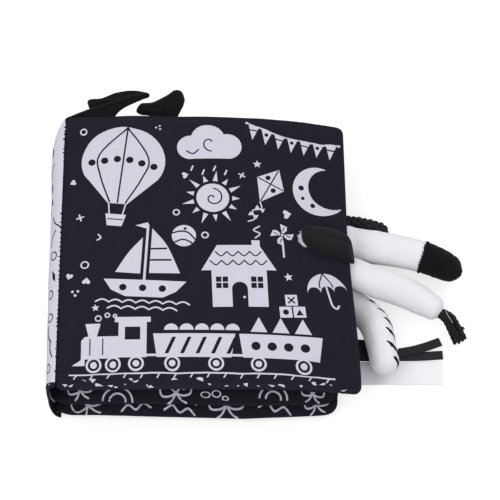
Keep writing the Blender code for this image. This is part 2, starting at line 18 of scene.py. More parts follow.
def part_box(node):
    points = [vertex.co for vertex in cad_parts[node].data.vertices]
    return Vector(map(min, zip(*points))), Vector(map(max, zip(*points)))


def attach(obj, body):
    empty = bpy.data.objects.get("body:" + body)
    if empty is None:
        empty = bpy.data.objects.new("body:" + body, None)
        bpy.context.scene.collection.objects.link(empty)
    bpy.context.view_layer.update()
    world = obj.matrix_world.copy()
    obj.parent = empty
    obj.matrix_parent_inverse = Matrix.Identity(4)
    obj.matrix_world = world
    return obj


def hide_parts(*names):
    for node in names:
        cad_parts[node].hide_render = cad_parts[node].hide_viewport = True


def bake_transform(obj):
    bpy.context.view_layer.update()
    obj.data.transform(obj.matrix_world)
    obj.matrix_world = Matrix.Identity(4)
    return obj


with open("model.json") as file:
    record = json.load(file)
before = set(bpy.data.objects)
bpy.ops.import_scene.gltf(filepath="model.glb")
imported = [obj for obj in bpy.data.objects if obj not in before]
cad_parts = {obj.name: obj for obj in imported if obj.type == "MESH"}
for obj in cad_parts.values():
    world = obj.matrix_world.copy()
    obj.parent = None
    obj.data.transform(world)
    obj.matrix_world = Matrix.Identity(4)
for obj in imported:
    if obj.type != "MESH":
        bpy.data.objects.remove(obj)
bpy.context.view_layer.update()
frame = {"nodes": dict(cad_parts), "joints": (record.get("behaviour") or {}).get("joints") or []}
mm = 0.001

# Camera
view_azimuth = 0.66
view_elevation = 61.64
view_distance = 1.3
view_target = (0.0359, 0.0105, 0.025)
view_lens = 139.7

# Cloth
cloth_thickness = 0.6 * mm
cover_corner = 5.5 * mm
leaf_corner = 8.5 * mm
panel_spacing = 3.4 * mm
rim_round = 0.9 * mm
roll_width = 3.4 * mm
roll_rise = 1.3 * mm
roll_drop = 2.0 * mm
seam_inset = 2.6 * mm
seam_groove = 0.28 * mm
stitch_pitch = 3.1 * mm
stitch_length = 1.9 * mm
stitch_radius = 0.22 * mm
print_spacing = 3.2
firm_rim = 0.003
held_rim = 0.0045
soft_rim = 0.012
wear_reach = 0.0022

# Wadding: how far its rim stays in from the cloth's, and the room it leaves for cloth and film
pad_inset = 5 * mm
pad_gap = 0.3 * mm
pad_least = 0.1 * mm
film_room = 0.7 * mm

# How the book droops towards its fore edge, as the frame does
droop_start = -20 * mm
droop_end = 103.5 * mm
droop_half_y = 100 * mm
foot_droop = 0.26
head_droop = 0.34
droop_power = 2.2

# How far the foot edges of the leaves bulge out, by places across the book
belly_places = (-90, -65, -25, 30, 80, 96)
belly_depths = {
    "leaf_1": (-3.4, -3.4, -3.4, -3.0, -2.4, -2.4),
    "leaf_2": (-1.2, -1.0, -0.8, 1.0, -0.2, -0.4),
    "back_cover": (0.2, 0.3, 2.0, 4.0, 2.2, 1.2),
    "front_cover": (0, 0, 0, 0, 0, 0),
}

# Colours, linear
black_cloth_colour = (0.0115, 0.0115, 0.0180)
white_print_colour = (0.675, 0.675, 0.735)
white_cloth_colour = (0.655, 0.655, 0.72)
white_plush_colour = (0.88, 0.88, 0.905)
black_plush_colour = (0.0022, 0.0022, 0.0030)
warm_plush_colour = (0.0070, 0.0066, 0.0088)
grey_plush_colour = (0.0085, 0.0085, 0.0125)
black_ribbon_colour = (0.0125, 0.0125, 0.016)
satin_colour = (0.90, 0.905, 0.92)
wadding_colour = (0.83, 0.83, 0.81)
film_colour = (0.75, 0.77, 0.80)
thread_colour = (0.014, 0.014, 0.021)
red_colour = (0.11, 0.012, 0.016)


class Shader:
    """A Principled material whose colour and bump are built up node by node."""

    def __init__(self, name, colour, roughness, sheen=0.0, specular=0.35):
        self.material = bpy.data.materials.new(name)
        self.material.use_nodes = True
        self.tree = self.material.node_tree
        self.principled = self.tree.nodes["Principled BSDF"]
        self.set(self.principled, Roughness=roughness)
        self.principled.inputs["Specular IOR Level"].default_value = specular
        self.principled.inputs["Sheen Weight"].default_value = sheen
        self.principled.inputs["Sheen Roughness"].default_value = 0.5
        self.principled.inputs["Base Color"].default_value = (*colour, 1)
        self.colour = colour
        self.place = self.add("ShaderNodeTexCoord").outputs["Object"]
        self.normal = None

    def add(self, kind, **sockets):
        node = self.tree.nodes.new(kind)
        self.set(node, **sockets)
        return node

    def set(self, node, **sockets):
        for name, value in sockets.items():
            node.inputs[name.replace("_", " ")].default_value = value

    def link(self, start, end):
        self.tree.links.new(start, end)

    def noise(self, size, detail=3.0):
        """Soft noise with blotches of about this size."""
        node = self.add("ShaderNodeTexNoise", Scale=1 / size, Detail=detail)
        self.link(self.place, node.inputs["Vector"])
        return node.outputs["Fac"]

    def threads(self, axis, pitch, wander=1.5):
        """Straight threads across an axis, one every pitch."""
        node = self.add("ShaderNodeTexWave", Scale=math.pi / 10 / pitch, Distortion=wander)
        node.inputs["Detail Scale"].default_value = 2.0
        node.bands_direction = axis
        self.link(self.place, node.inputs["Vector"])
        return node.outputs["Fac"]

    def bump(self, height, depth, strength=1.0):
        """Adds one more layer of relief under the ones before it."""
        node = self.add("ShaderNodeBump", Strength=strength, Distance=depth)
        self.link(height, node.inputs["Height"])
        if self.normal:
            self.link(self.normal, node.inputs["Normal"])
        self.normal = node.outputs["Normal"]
        self.link(self.normal, self.principled.inputs["Normal"])
        return self

    def tint(self, factor, other, share):
        """Mixes in another colour by a factor that runs from 0 to 1."""
        scaled = self.add("ShaderNodeMath")
        scaled.operation = "MULTIPLY"
        scaled.inputs[1].default_value = share
        self.link(factor, scaled.inputs[0])
        mix = self.tree.nodes.new("ShaderNodeMix")
        mix.data_type = "RGBA"
        mix.inputs["B"].default_value = (*other, 1)
        before = self.principled.inputs["Base Color"]
        if before.is_linked:
            self.link(before.links[0].from_socket, mix.inputs["A"])
        else:
            mix.inputs["A"].default_value = (*self.colour, 1)
        self.link(scaled.outputs[0], mix.inputs["Factor"])
        self.link(mix.outputs["Result"], before)
        return self

    def attribute(self, name):
        node = self.tree.nodes.new("ShaderNodeAttribute")
        node.attribute_name = name
        return node.outputs["Fac"]


def woven(name, colour, worn, axes="XY", pitch=0.75 * mm, depth=0.12 * mm, roughness=0.85, ribs=None):
    """Printed polyester cloth: a fine weave, faint creases, and a paler worn edge."""
    shader = Shader(name, colour, roughness, specular=0.06)
    shader.bump(shader.noise(0.030, 4), 1.2 * mm, 0.35)
    shader.bump(shader.noise(0.0045, 3), 0.22 * mm, 0.5)
    for axis in axes:
        shader.bump(shader.threads(axis, pitch), depth, 0.45)
    shader.tint(shader.noise(0.012, 4), worn, 0.30)
    shader.tint(shader.noise(1.0 * mm, 1), worn, 0.35)
    if ribs:
        shader.tint(shader.threads("X", 1.3 * mm, 0.8), ribs, 0.22)
    shader.tint(shader.attribute("edge"), worn, 0.55)
    return shader.material


def plush(name, colour, shade, pile=0.0006, depth=0.00035, sheen=0.25):
    """Short pile: matt, soft at grazing angles, brushed in patches."""
    shader = Shader(name, colour, 0.95, sheen=sheen, specular=0.2)
    shader.bump(shader.noise(0.006, 3), 0.0005, 0.35)
    shader.bump(shader.noise(pile, 2), depth, 0.7)
    shader.tint(shader.noise(0.009, 4), shade, 0.35)
    shader.tint(shader.noise(pile * 1.6, 1), shade, 0.30)
    return shader.material


def ribbon_shader(name, colour, worn, axis, pitch, depth, roughness, anisotropic=0.0, specular=0.5):
    """Ribbon: ribs across it, a soft gloss along them."""
    shader = Shader(name, colour, roughness, specular=specular)
    shader.principled.inputs["Anisotropic"].default_value = anisotropic
    shader.bump(shader.noise(0.014, 3), 0.0006, 0.35)
    shader.bump(shader.threads(axis, pitch, 0.6), depth, 0.6)
    shader.tint(shader.noise(0.008, 3), worn, 0.30)
    return shader.material


black_worn = (0.021, 0.021, 0.031)
white_worn = (0.52, 0.52, 0.61)
black_cloth = woven("black_cloth", black_cloth_colour, black_worn)
white_print = woven("white_print", white_print_colour, white_worn, depth=0.09 * mm, ribs=(0.50, 0.50, 0.60))
white_cloth = woven("white_cloth", white_cloth_colour, white_worn, axes="YZ")
black_print = woven("black_print", (0.014, 0.014, 0.020), black_worn, axes="YZ")
white_plush = plush("white_plush", white_plush_colour, (0.76, 0.76, 0.81))
black_plush = plush("black_plush", black_plush_colour, (0.0065, 0.0065, 0.0085), pile=1.1 * mm, sheen=0.02)
warm_plush = plush("warm_black_plush", warm_plush_colour, (0.016, 0.015, 0.019), pile=0.9 * mm, sheen=0.03)
grey_plush = plush("grey_black_plush", grey_plush_colour, (0.028, 0.028, 0.036), pile=0.8 * mm, sheen=0.06)
black_cord = plush("black_cord", (0.006, 0.006, 0.008), (0.022, 0.022, 0.026), pile=0.4 * mm, sheen=0.08)
pale_cord = plush("pale_cord", (0.60, 0.58, 0.55), (0.4, 0.4, 0.4), pile=0.4 * mm)
red_yarn = plush("red_yarn", red_colour, (0.05, 0.006, 0.008), pile=0.4 * mm)
black_ribbon = ribbon_shader(
    "black_ribbon", black_ribbon_colour, (0.030, 0.030, 0.036), "X", 0.8 * mm, 0.10 * mm, 0.6, specular=0.2
)
satin = ribbon_shader("white_satin", satin_colour, (0.80, 0.81, 0.85), "X", 0.4 * mm, 0.03 * mm, 0.33, 0.6)
thread = ribbon_shader("thread", thread_colour, (0.022, 0.022, 0.030), "X", 0.6 * mm, 0.08 * mm, 0.6)
wadding = plush("wadding", wadding_colour, (0.7, 0.7, 0.68), pile=2 * mm)
film = ribbon_shader("crinkle_film", film_colour, (0.6, 0.62, 0.66), "X", 4 * mm, 0.4 * mm, 0.25)


def mesh_piece(name, points, faces, materials, indices=None, normals=None):
    """A smooth-shaded object from points and faces; indices say which material each face has."""
    mesh = bpy.data.meshes.new(name)
    mesh.from_pydata([tuple(p) for p in points], [], faces)
    for material in materials:
        mesh.materials.append(material)
    if indices is not None:
        mesh.polygons.foreach_set("material_index", np.array(indices, np.int32))
    mesh.shade_smooth()
    if normals is not None:
        mesh.normals_split_custom_set_from_vertices([tuple(n) for n in normals])
    piece = bpy.data.objects.new(name, mesh)
    bpy.context.scene.collection.objects.link(piece)
    return piece


def dress(piece, body, slot, *nodes):
    """The piece moves with a body and stands for the frame's nodes, which it hides; the slot is not used."""
    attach(piece, body)
    if nodes:
        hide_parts(*nodes)
    return piece


def tree_of(node):
    mesh = frame["nodes"][node].data
    mesh.calc_loop_triangles()
    points = [v.co.copy() for v in mesh.vertices]
    return BVHTree.FromPolygons(points, [tuple(t.vertices) for t in mesh.loop_triangles])


class Pen:
    """Draws flat printed shapes: each is a list of points in millimetres, printed or left bare."""

    def __init__(self, shapes, x=0.0, y=0.0, size=1.0, turn=0.0):
        self.shapes, self.x, self.y, self.size = shapes, x, y, size
        self.cos, self.sin = math.cos(math.radians(turn)), math.sin(math.radians(turn))

    def at(self, x, y, size, turn=0.0):
        return Pen(self.shapes, x, y, size, turn)

    def place(self, point):
        x, y = point[0] * self.size, point[1] * self.size
        return self.x + x * self.cos - y * self.sin, self.y + x * self.sin + y * self.cos

    def area(self, points, printed=True):
        self.shapes.append(([self.place(p) for p in points], printed))

    def disc(self, x, y, radius, printed=True, flat=1.0, start=0, end=360, count=22):
        whole = end - start == 360
        steps = count if whole else count + 1
        turns = [math.radians(start + (end - start) * i / count) for i in range(steps)]
        self.area([(x + radius * math.cos(t), y + radius * flat * math.sin(t)) for t in turns], printed)

    def ring(self, x, y, radius, width):
        """A printed ring; the width is in millimetres."""
        self.disc(x, y, radius)
        self.disc(x, y, radius - width / self.size, False)

    def line(self, points, width, printed=True):
        """A stroke with round ends; the width is in millimetres."""
        path = [Vector(self.place(p)) for p in points]
        half = width / 2
        left, right = [], []
        for i, point in enumerate(path):
            along = (path[min(i + 1, len(path) - 1)] - path[max(i - 1, 0)]).normalized()
            side = Vector((-along.y, along.x)) * half
            left.append(point + side)
            right.append(point - side)
        start = (path[0] - path[1]).normalized() * half
        end = (path[-1] - path[-2]).normalized() * half
        outline = [path[0] + start, *left, path[-1] + end, *reversed(right)]
        self.shapes.append(([tuple(p) for p in outline], printed))

    def curve(self, points, width, printed=True, steps=5):
        self.line(smooth_path(points, steps), width, printed)


def smooth_path(points, steps):
    """Points on a smooth curve through the given ones."""
    guide = [Vector(p) for p in points]
    guide = [guide[0] * 2 - guide[1], *guide, guide[-1] * 2 - guide[-2]]
    path = []
    for a, b, c, d in zip(guide, guide[1:], guide[2:], guide[3:]):
        for i in range(steps):
            t = i / steps
            path.append(
                0.5 * (2 * b + (c - a) * t + (2 * a - 5 * b + 4 * c - d) * t**2
                       + (3 * b - a - 3 * c + d) * t**3)
            )
    return [*path, guide[-2]]


def smooth_share(value, low, high):
    """0 below the low value, 1 above the high one, smooth between."""
    share = np.clip((np.asarray(value, float) - low) / (high - low), 0, 1)
    return share * share * (3 - 2 * share)


def droop(x, y):
    """The share of its height that a point of the closed book keeps."""
    along = np.clip((x - droop_start) / (droop_end - droop_start), 0, 1)
    across = np.clip((y + droop_half_y) / (2 * droop_half_y), 0, 1)
    return 1 - (foot_droop + (head_droop - foot_droop) * across) * along**droop_power


def balloon(pen):
    """A striped hot-air balloon with its basket."""
    turns = [math.radians(-28 + 236 * i / 26) for i in range(27)]
    envelope = [(0.74 * math.cos(t), 0.30 + 0.68 * math.sin(t)) for t in turns]
    pen.area([(0.17, -0.56), *envelope, (-0.17, -0.56)])
    for lean in (-0.46, 0, 0.46):
        pen.curve([(0, 0.97), (lean * 0.95, 0.40), (lean * 0.80, -0.02), (lean * 0.30, -0.54)], 1.1, False)
    for i in range(6):
        pen.disc(-0.55 + 0.22 * i, 0.36 - 0.05 * abs(i - 2.5), 0.065, False)
    pen.line([(-0.15, -0.56), (-0.11, -0.80)], 0.9)
    pen.line([(0.15, -0.56), (0.11, -0.80)], 0.9)
    pen.area([(-0.18, -0.77), (0.18, -0.77), (0.13, -1), (-0.13, -1)])
    pen.line([(-0.13, -0.87), (0.13, -0.87)], 0.8, False)


def waves(pen, y, width, count, height=0.06):
    """A row of joined scallops."""
    points = []
    for i in range(count * 6 + 1):
        share = i / (count * 6)
        points.append((width * (share - 0.5), y + height * abs(math.sin(math.pi * count * share))))
    pen.line(points, 1.1)


def sailboat(pen):
    """A boat with two sails on two rows of waves."""
    pen.area([(-0.82, -0.36), (0.86, -0.36), (0.66, -0.60), (0.40, -0.74), (-0.36, -0.74), (-0.66, -0.60)])
    for x in (-0.42, -0.02, 0.38):
        pen.disc(x, -0.54, 0.075, False)
    pen.line([(0, -0.36), (0, 0.92)], 1.6)
    main = smooth_path([(0.09, 0.84), (0.42, 0.44), (0.72, -0.18)], 6)
    pen.area([*main, (0.09, -0.20)])
    jib = smooth_path([(-0.09, 0.62), (-0.36, 0.26), (-0.60, -0.20)], 6)
    pen.area([(-0.09, -0.22), *reversed(jib)])
    for y in (0.36, 0.10):
        pen.line([(0.10, y), (0.56 - y * 0.42, y + 0.02)], 1.3, False)
    pen.area([(0, 0.98), (-0.26, 0.90), (0, 0.82)])
    waves(pen, -0.88, 1.9, 7)
    waves(pen, -1.02, 1.4, 5)


def wheel(pen, x, y, radius):
    pen.disc(x, y, radius)
    pen.disc(x, y, radius * 0.72, False)
    pen.disc(x, y, radius * 0.42)


def train(pen):
    """An engine that pulls two wagons along a track."""
    pen.area([(-0.93, -0.10), (-0.93, 0.05), (-0.90, 0.08), (-0.62, 0.08), (-0.62, -0.10)])
    pen.area([(-0.64, -0.10), (-0.64, 0.21), (-0.42, 0.21), (-0.42, -0.10)])
    pen.area([(-0.67, 0.20), (-0.67, 0.245), (-0.39, 0.245), (-0.39, 0.20)])
    pen.area([(-0.59, 0.05), (-0.59, 0.16), (-0.47, 0.16), (-0.47, 0.05)], False)
    pen.area([(-0.87, 0.07), (-0.90, 0.19), (-0.78, 0.19), (-0.81, 0.07)])
    pen.area([(-1.0, -0.15), (-0.90, -0.08), (-0.90, -0.15)])
    for x in (-0.86, -0.76):
        pen.line([(x, -0.07), (x, 0.06)], 0.8, False)
    for x, y, radius in ((-0.80, 0.235, 0.028), (-0.73, 0.262, 0.023), (-0.67, 0.255, 0.018)):
        pen.ring(x, y, radius, 0.9)
    for left in (-0.34, 0.33):
        pen.area([(left, -0.10), (left - 0.03, 0.10), (left + 0.61, 0.10), (left + 0.58, -0.10)])
        near, far = left - 0.09, left + 0.02
        pen.area([(near, -0.092), (near, -0.072), (far, -0.072), (far, -0.092)])
    for i in range(5):
        x = -0.28 + 0.12 * i
        pen.area([(x, -0.07), (x + 0.06, 0.07), (x + 0.09, 0.07), (x + 0.03, -0.07)], False)
        pen.disc(-0.23 + 0.12 * i, 0.13, 0.055, start=0, end=180)
    for i in range(4):
        pen.disc(0.43 + 0.125 * i, 0.0, 0.036, False)
    for i in range(3):
        x = 0.39 + 0.17 * i
        pen.area([(x, 0.12), (x + 0.13, 0.12), (x + 0.065, 0.25)])
    for x in (-0.83, -0.68, -0.50, -0.22, 0.12, 0.45, 0.79):
        wheel(pen, x, -0.15, 0.062)
    pen.area([(-1.02, -0.233), (1.02, -0.233), (1.02, -0.221), (-1.02, -0.221)])
    for i in range(16):
        x = -0.97 + 0.129 * i
        pen.area([(x, -0.232), (x + 0.012, -0.232), (x - 0.006, -0.262), (x - 0.018, -0.262)])


def house(pen):
    """A house with a scalloped roof."""
    pen.area([(-0.60, -0.85), (-0.60, 0.06), (0.60, 0.06), (0.60, -0.85)])
    pen.area([(0.30, 0.30), (0.30, 0.78), (0.48, 0.78), (0.48, 0.30)])
    pen.area([(-0.82, 0.04), (-0.46, 0.66), (0.46, 0.66), (0.82, 0.04)])
    for y, half, count in ((0.50, 0.50, 4), (0.28, 0.62, 5)):
        for i in range(count):
            x = -half + 2 * half * (i + 0.5) / count
            pen.curve([(x - half / count, y), (x, y - 0.11), (x + half / count, y)], 0.9, False, 4)
    pen.disc(0, -0.42, 0.17, False, start=0, end=180)
    pen.area([(-0.17, -0.85), (-0.17, -0.41), (0.17, -0.41), (0.17, -0.85)], False)
    pen.disc(0.09, -0.62, 0.03)
    for x in (-0.38, 0.38):
        pen.area([(x - 0.13, -0.40), (x - 0.13, -0.12), (x + 0.13, -0.12), (x + 0.13, -0.40)], False)
        pen.line([(x, -0.40), (x, -0.12)], 0.8)
        pen.line([(x - 0.13, -0.26), (x + 0.13, -0.26)], 0.8)
    pen.curve([(0.39, 0.84), (0.50, 0.95), (0.36, 1.04), (0.50, 1.14)], 1.0)


def cloud(pen):
    for x, y, radius in ((-0.52, -0.05, 0.36), (-0.05, 0.18, 0.47), (0.48, 0.0, 0.38)):
        pen.disc(x, y, radius)
    pen.area([(-0.60, -0.40), (-0.70, 0), (0.70, 0), (0.60, -0.37)])
    turns = np.arange(0.8, 5.2, 0.4)
    pen.line([(0.02 + 0.055 * t * math.cos(t), 0.10 + 0.055 * t * math.sin(t)) for t in turns], 1.0, False)
    pen.curve([(-0.62, -0.16), (-0.45, -0.24), (-0.30, -0.12)], 1.0, False)
    for i, drop in enumerate((0.10, 0.22, 0.10, 0.22)):
        x = -0.45 + 0.30 * i
        pen.line([(x, -0.52 - drop), (x - 0.05, -0.66 - drop)], 1.1)


def moon(pen):
    outer = [(math.cos(t), math.sin(t)) for t in np.radians(np.linspace(55, 305, 24))]
    inner = [(0.42 + 0.80 * math.cos(t), 0.80 * math.sin(t)) for t in np.radians(np.linspace(282, 78, 18))]
    pen.area([(0.85 * x, 0.85 * y) for x, y in outer + inner])
    for x, y, radius in ((-0.52, 0.25, 0.09), (-0.60, -0.10, 0.06), (-0.38, -0.42, 0.08)):
        pen.disc(x, y, radius, False)


def star(pen, points=5, depth=0.45):
    corners = []
    for i in range(2 * points):
        turn, reach = math.pi / 2 + math.pi * i / points, depth if i % 2 else 1
        corners.append((reach * math.cos(turn), reach * math.sin(turn)))
    pen.area(corners)


def sun(pen):
    """A sun with rays and a spiral."""
    pen.disc(0, 0, 0.52)
    rays, spread = 13, 0.13
    for i in range(rays):
        t = 2 * math.pi * i / rays
        reach = 1.0 if i % 2 else 0.86
        pen.area([
            (0.62 * math.cos(t - spread), 0.62 * math.sin(t - spread)),
            (reach * math.cos(t), reach * math.sin(t)),
            (0.62 * math.cos(t + spread), 0.62 * math.sin(t + spread)),
        ])
    turns = np.arange(0.6, 8.2, 0.4)
    pen.line([(0.045 * t * math.cos(t), 0.045 * t * math.sin(t)) for t in turns], 1.0, False)


def kite(pen):
    """A kite with a cross and a tail of bows."""
    pen.area([(0, 0.95), (0.52, 0.30), (0, -0.50), (-0.52, 0.30)])
    pen.line([(0, 0.90), (0, -0.45)], 0.9, False)
    pen.line([(-0.48, 0.30), (0.48, 0.30)], 0.9, False)
    pen.disc(-0.19, 0.47, 0.09, False)
    pen.disc(0.19, 0.12, 0.09, False)
    tail = smooth_path([(0, -0.50), (0.16, -0.70), (-0.06, -0.92), (0.14, -1.16), (0.0, -1.36)], 5)
    pen.line(tail, 0.9)
    for x, y in ((0.12, -0.74), (0.04, -1.06)):
        pen.area([(x, y), (x - 0.15, y + 0.09), (x - 0.15, y - 0.09)])
        pen.area([(x, y), (x + 0.15, y + 0.09), (x + 0.15, y - 0.09)])


def umbrella(pen):
    pen.disc(0, 0, 0.85, start=0, end=180)
    for i in range(3):
        pen.disc(-0.567 + 0.567 * i, 0, 0.283, False, start=0, end=180, count=10)
    pen.curve([(0, 0.85), (-0.24, 0.45), (-0.28, 0.22)], 0.9, False)
    pen.curve([(0, 0.85), (0.24, 0.45), (0.28, 0.22)], 0.9, False)
    pen.curve([(0, 0.25), (0, -0.30), (0.02, -0.62), (0.16, -0.74), (0.30, -0.62)], 1.3)


def bunting(pen):
    """A hanging string of flags, dotted and striped in turn."""
    string = [(x, 0.16 * x * x) for x in np.linspace(-1, 1, 17)]
    for i in range(7):
        x = -0.84 + 0.28 * i
        top = 0.16 * x * x
        pen.area([(x - 0.115, top), (x + 0.115, top), (x + 0.01, top - 0.34)])
        if i % 2:
            pen.disc(x, top - 0.10, 0.042, False)
        else:
            pen.line([(x - 0.09, top - 0.115), (x + 0.09, top - 0.115)], 1.0, False)
    pen.line(string, 1.2)
    for x in (-1, 1):
        pen.disc(x, 0.16, 0.035)


def pinwheel(pen):
    """Four folded blades on a stick."""
    for quarter in range(4):
        blade = Pen(pen.shapes, 0, 0, 1, 90 * quarter + 12)
        shape = [blade.place(p) for p in ((0, 0), (0.06, 0.92), (0.52, 0.60), (0.44, 0.30))]
        pen.area(shape)
        pen.line([blade.place((0.10, 0.30)), blade.place((0.30, 0.58))], 0.7, False)
    pen.disc(0, 0, 0.17, False)
    pen.disc(0, 0, 0.10)
    pen.line([(0.02, -0.5), (0.10, -1.85)], 1.3)


def building_blocks(pen):
    """Three blocks, two under one."""
    for x, y in ((-1.05, -0.95), (0.05, -0.95), (-0.5, 0.12)):
        pen.area([(x, y), (x + 0.98, y), (x + 0.98, y + 0.98), (x, y + 0.98)])
    pen.disc(-0.56, -0.46, 0.24, False)
    pen.area([(0.24, -0.76), (0.84, -0.76), (0.54, -0.22)], False)
    pen.line([(-0.26, 0.36), (0.24, 0.86)], 1.1, False)
    pen.line([(-0.26, 0.86), (0.24, 0.36)], 1.1, False)


def ball(pen):
    pen.disc(0, 0, 1)
    pen.curve([(-0.95, 0.25), (-0.3, 0.42), (0.35, 0.30), (0.92, -0.32)], 1.1, False)
    pen.curve([(-0.75, -0.60), (-0.1, -0.34), (0.5, -0.55), (0.66, -0.72)], 1.1, False)
    pen.disc(0.1, 0.66, 0.13, False)


def arches(pen):
    for size in (1, 0.55):
        turns = np.radians(np.linspace(0, 180, 13))
        pen.line([(size * math.cos(t), 0.9 * size * math.sin(t) - 0.4) for t in turns], 1.2)


def small_waves(pen):
    for y in (-0.3, 0.3):
        pen.curve([(-1, y), (-0.5, y + 0.32), (0, y), (0.5, y + 0.32), (1, y)], 1.2)


def pebbles(pen):
    for x, y, size, flat in ((-0.62, 0, 0.36, 0.55), (0.12, 0.12, 0.34, 0.7), (0.75, -0.08, 0.25, 0.6)):
        pen.disc(x, y, size, flat=flat, count=16)
        pen.disc(x, y, size - 1.0 / pen.size, False, flat=flat, count=16)


def bow(pen):
    """Two loops and two ends."""
    for side in (-1, 1):
        loop = ((0, 0), (0.45, 0.42), (0.95, 0.38), (0.90, -0.10), (0.40, -0.16), (0, 0))
        pen.curve([(side * x, y) for x, y in loop], 1.2)
        pen.curve([(0, 0), (side * 0.30, -0.42), (side * 0.60, -0.62)], 1.2)
    pen.disc(0, 0, 0.13, count=10)


def plus(pen):
    pen.line([(-0.8, 0), (0.8, 0)], 1.0)
    pen.line([(0, -0.8), (0, 0.8)], 1.0)


def small_ring(pen):
    pen.ring(0, 0, 0.8, 1.0)


def heart(pen):
    turns = [2 * math.pi * i / 20 for i in range(20)]
    pen.area([
        (math.sin(t) ** 3,
         0.8 * math.cos(t) - 0.32 * math.cos(2 * t) - 0.12 * math.cos(3 * t) - 0.06 * math.cos(4 * t))
        for t in turns
    ])


def three_dots(pen):
    for x, y in ((-0.6, -0.3), (0.6, -0.3), (0, 0.6)):
        pen.disc(x, y, 0.30, count=10)


def small_arc(pen):
    pen.curve([(-0.9, -0.4), (0, 0.5), (0.9, -0.4)], 1.0)


small_motifs = (plus, small_ring, heart, three_dots, small_arc, star)
middle_motifs = (cloud, star, sun, kite, umbrella, moon, house, balloon, sailboat)
edge_motifs = (arches, small_waves, pebbles, bow, bow)


def sprinkle(pen, half_x, half_y, count, seed, keep_out, size=2.6, gap=7.0):
    """Small motifs at free places of a cloth, by a seeded draw."""
    draw = random.Random(seed)
    taken = list(keep_out)
    for _ in range(count * 12):
        x, y = draw.uniform(-half_x, half_x), draw.uniform(-half_y, half_y)
        motif, turn = draw.choice(small_motifs), draw.uniform(0, 360)
        if count and all(math.hypot(x - cx, y - cy) > radius + gap / 2 for cx, cy, radius in taken):
            motif(pen.at(x, y, size * draw.uniform(0.8, 1.25), turn))
            taken.append((x, y, gap))
            count -= 1


def cover_print(pen):
    """The front cover's design: its large motifs as listed, small ones between them, pieces at the rim."""
    layout = (
        (balloon, -57, 52, 38, -6), (cloud, 2, 75, 25, 0), (moon, 77, 45, 22, 20), (sun, 4, 35, 21, 0),
        (sailboat, -40, -15, 32, -3), (house, 21, -20, 30, 2), (kite, 40, 42, 20, -28),
        (umbrella, 79, -31, 16, 12), (train, -4, -73, 82, 0), (bunting, 59, 84, 33, -9),
        (pinwheel, 50, 9, 9, 0), (building_blocks, 55, -44, 8, 4), (ball, -15, 6, 8, 0),
    )
    for motif, x, y, size, turn in layout:
        motif(pen.at(x, y, size, turn))
    keep_out = [
        (-57, 64, 31), (-60, 36, 22), (-8, 75, 18), (14, 75, 18), (77, 45, 22), (4, 35, 21), (-40, -15, 31),
        (-40, 4, 20), (21, -18, 29), (40, 44, 15), (30, 22, 7), (79, -31, 16), (76, 4, 21), (50, 6, 14),
        (55, -44, 11), (-15, 6, 8), (40, 88, 16), (59, 82, 14), (80, 80, 14), (33, 10, 7),
        *((x, -72, 22) for x in range(-86, 86, 12)),
    ]
    sprinkle(pen, 90, 92, 32, 5, keep_out, size=2.9)
    draw = random.Random(17)
    x = -90.0
    while x < 88:
        size = draw.uniform(0.9, 2.6)
        y = -draw.choice((94.9, 95.4, 98.0, 98.4)) + draw.uniform(-0.4, 0.4)
        lean, count = draw.uniform(-1.5, 1.5), draw.choice((3, 4, 4, 5))
        turns = sorted(draw.uniform(0, 2 * math.pi) for _ in range(count))
        if turns[-1] - turns[0] > 3:
            pen.area([
                (x + size * (math.cos(t) + lean * 0.4 * math.sin(t)), y + 0.5 * size * math.sin(t))
                for t in turns
            ])
        x += draw.uniform(2.5, 8.5)


def page_print(seed):
    """A page's design: middle-sized motifs on a loose grid, and a row of line motifs over the foot edge."""

    def draw_page(pen):
        draw = random.Random(seed)
        order = draw.sample(middle_motifs, len(middle_motifs))
        keep_out = []
        for i in range(9):
            x = (i % 3 - 1) * 58 + draw.uniform(-6, 6)
            y = (i // 3 - 1) * 52 + 12 + draw.uniform(-5, 5)
            order[i](pen.at(x, y, 18, draw.uniform(-14, 14)))
            keep_out.append((x, y, 20))
        for i in range(6):
            x, y = (i - 2.4) * 31 + draw.uniform(-6, 6), -93 + draw.uniform(-2.5, 1.5)
            motif = draw.choice(edge_motifs)
            motif(pen.at(x, y, draw.uniform(8.0, 12.0), draw.uniform(-18, 18)))
            keep_out.append((x, y, 12))
        sprinkle(pen, 86, 92, 26, seed, keep_out)

    return draw_page


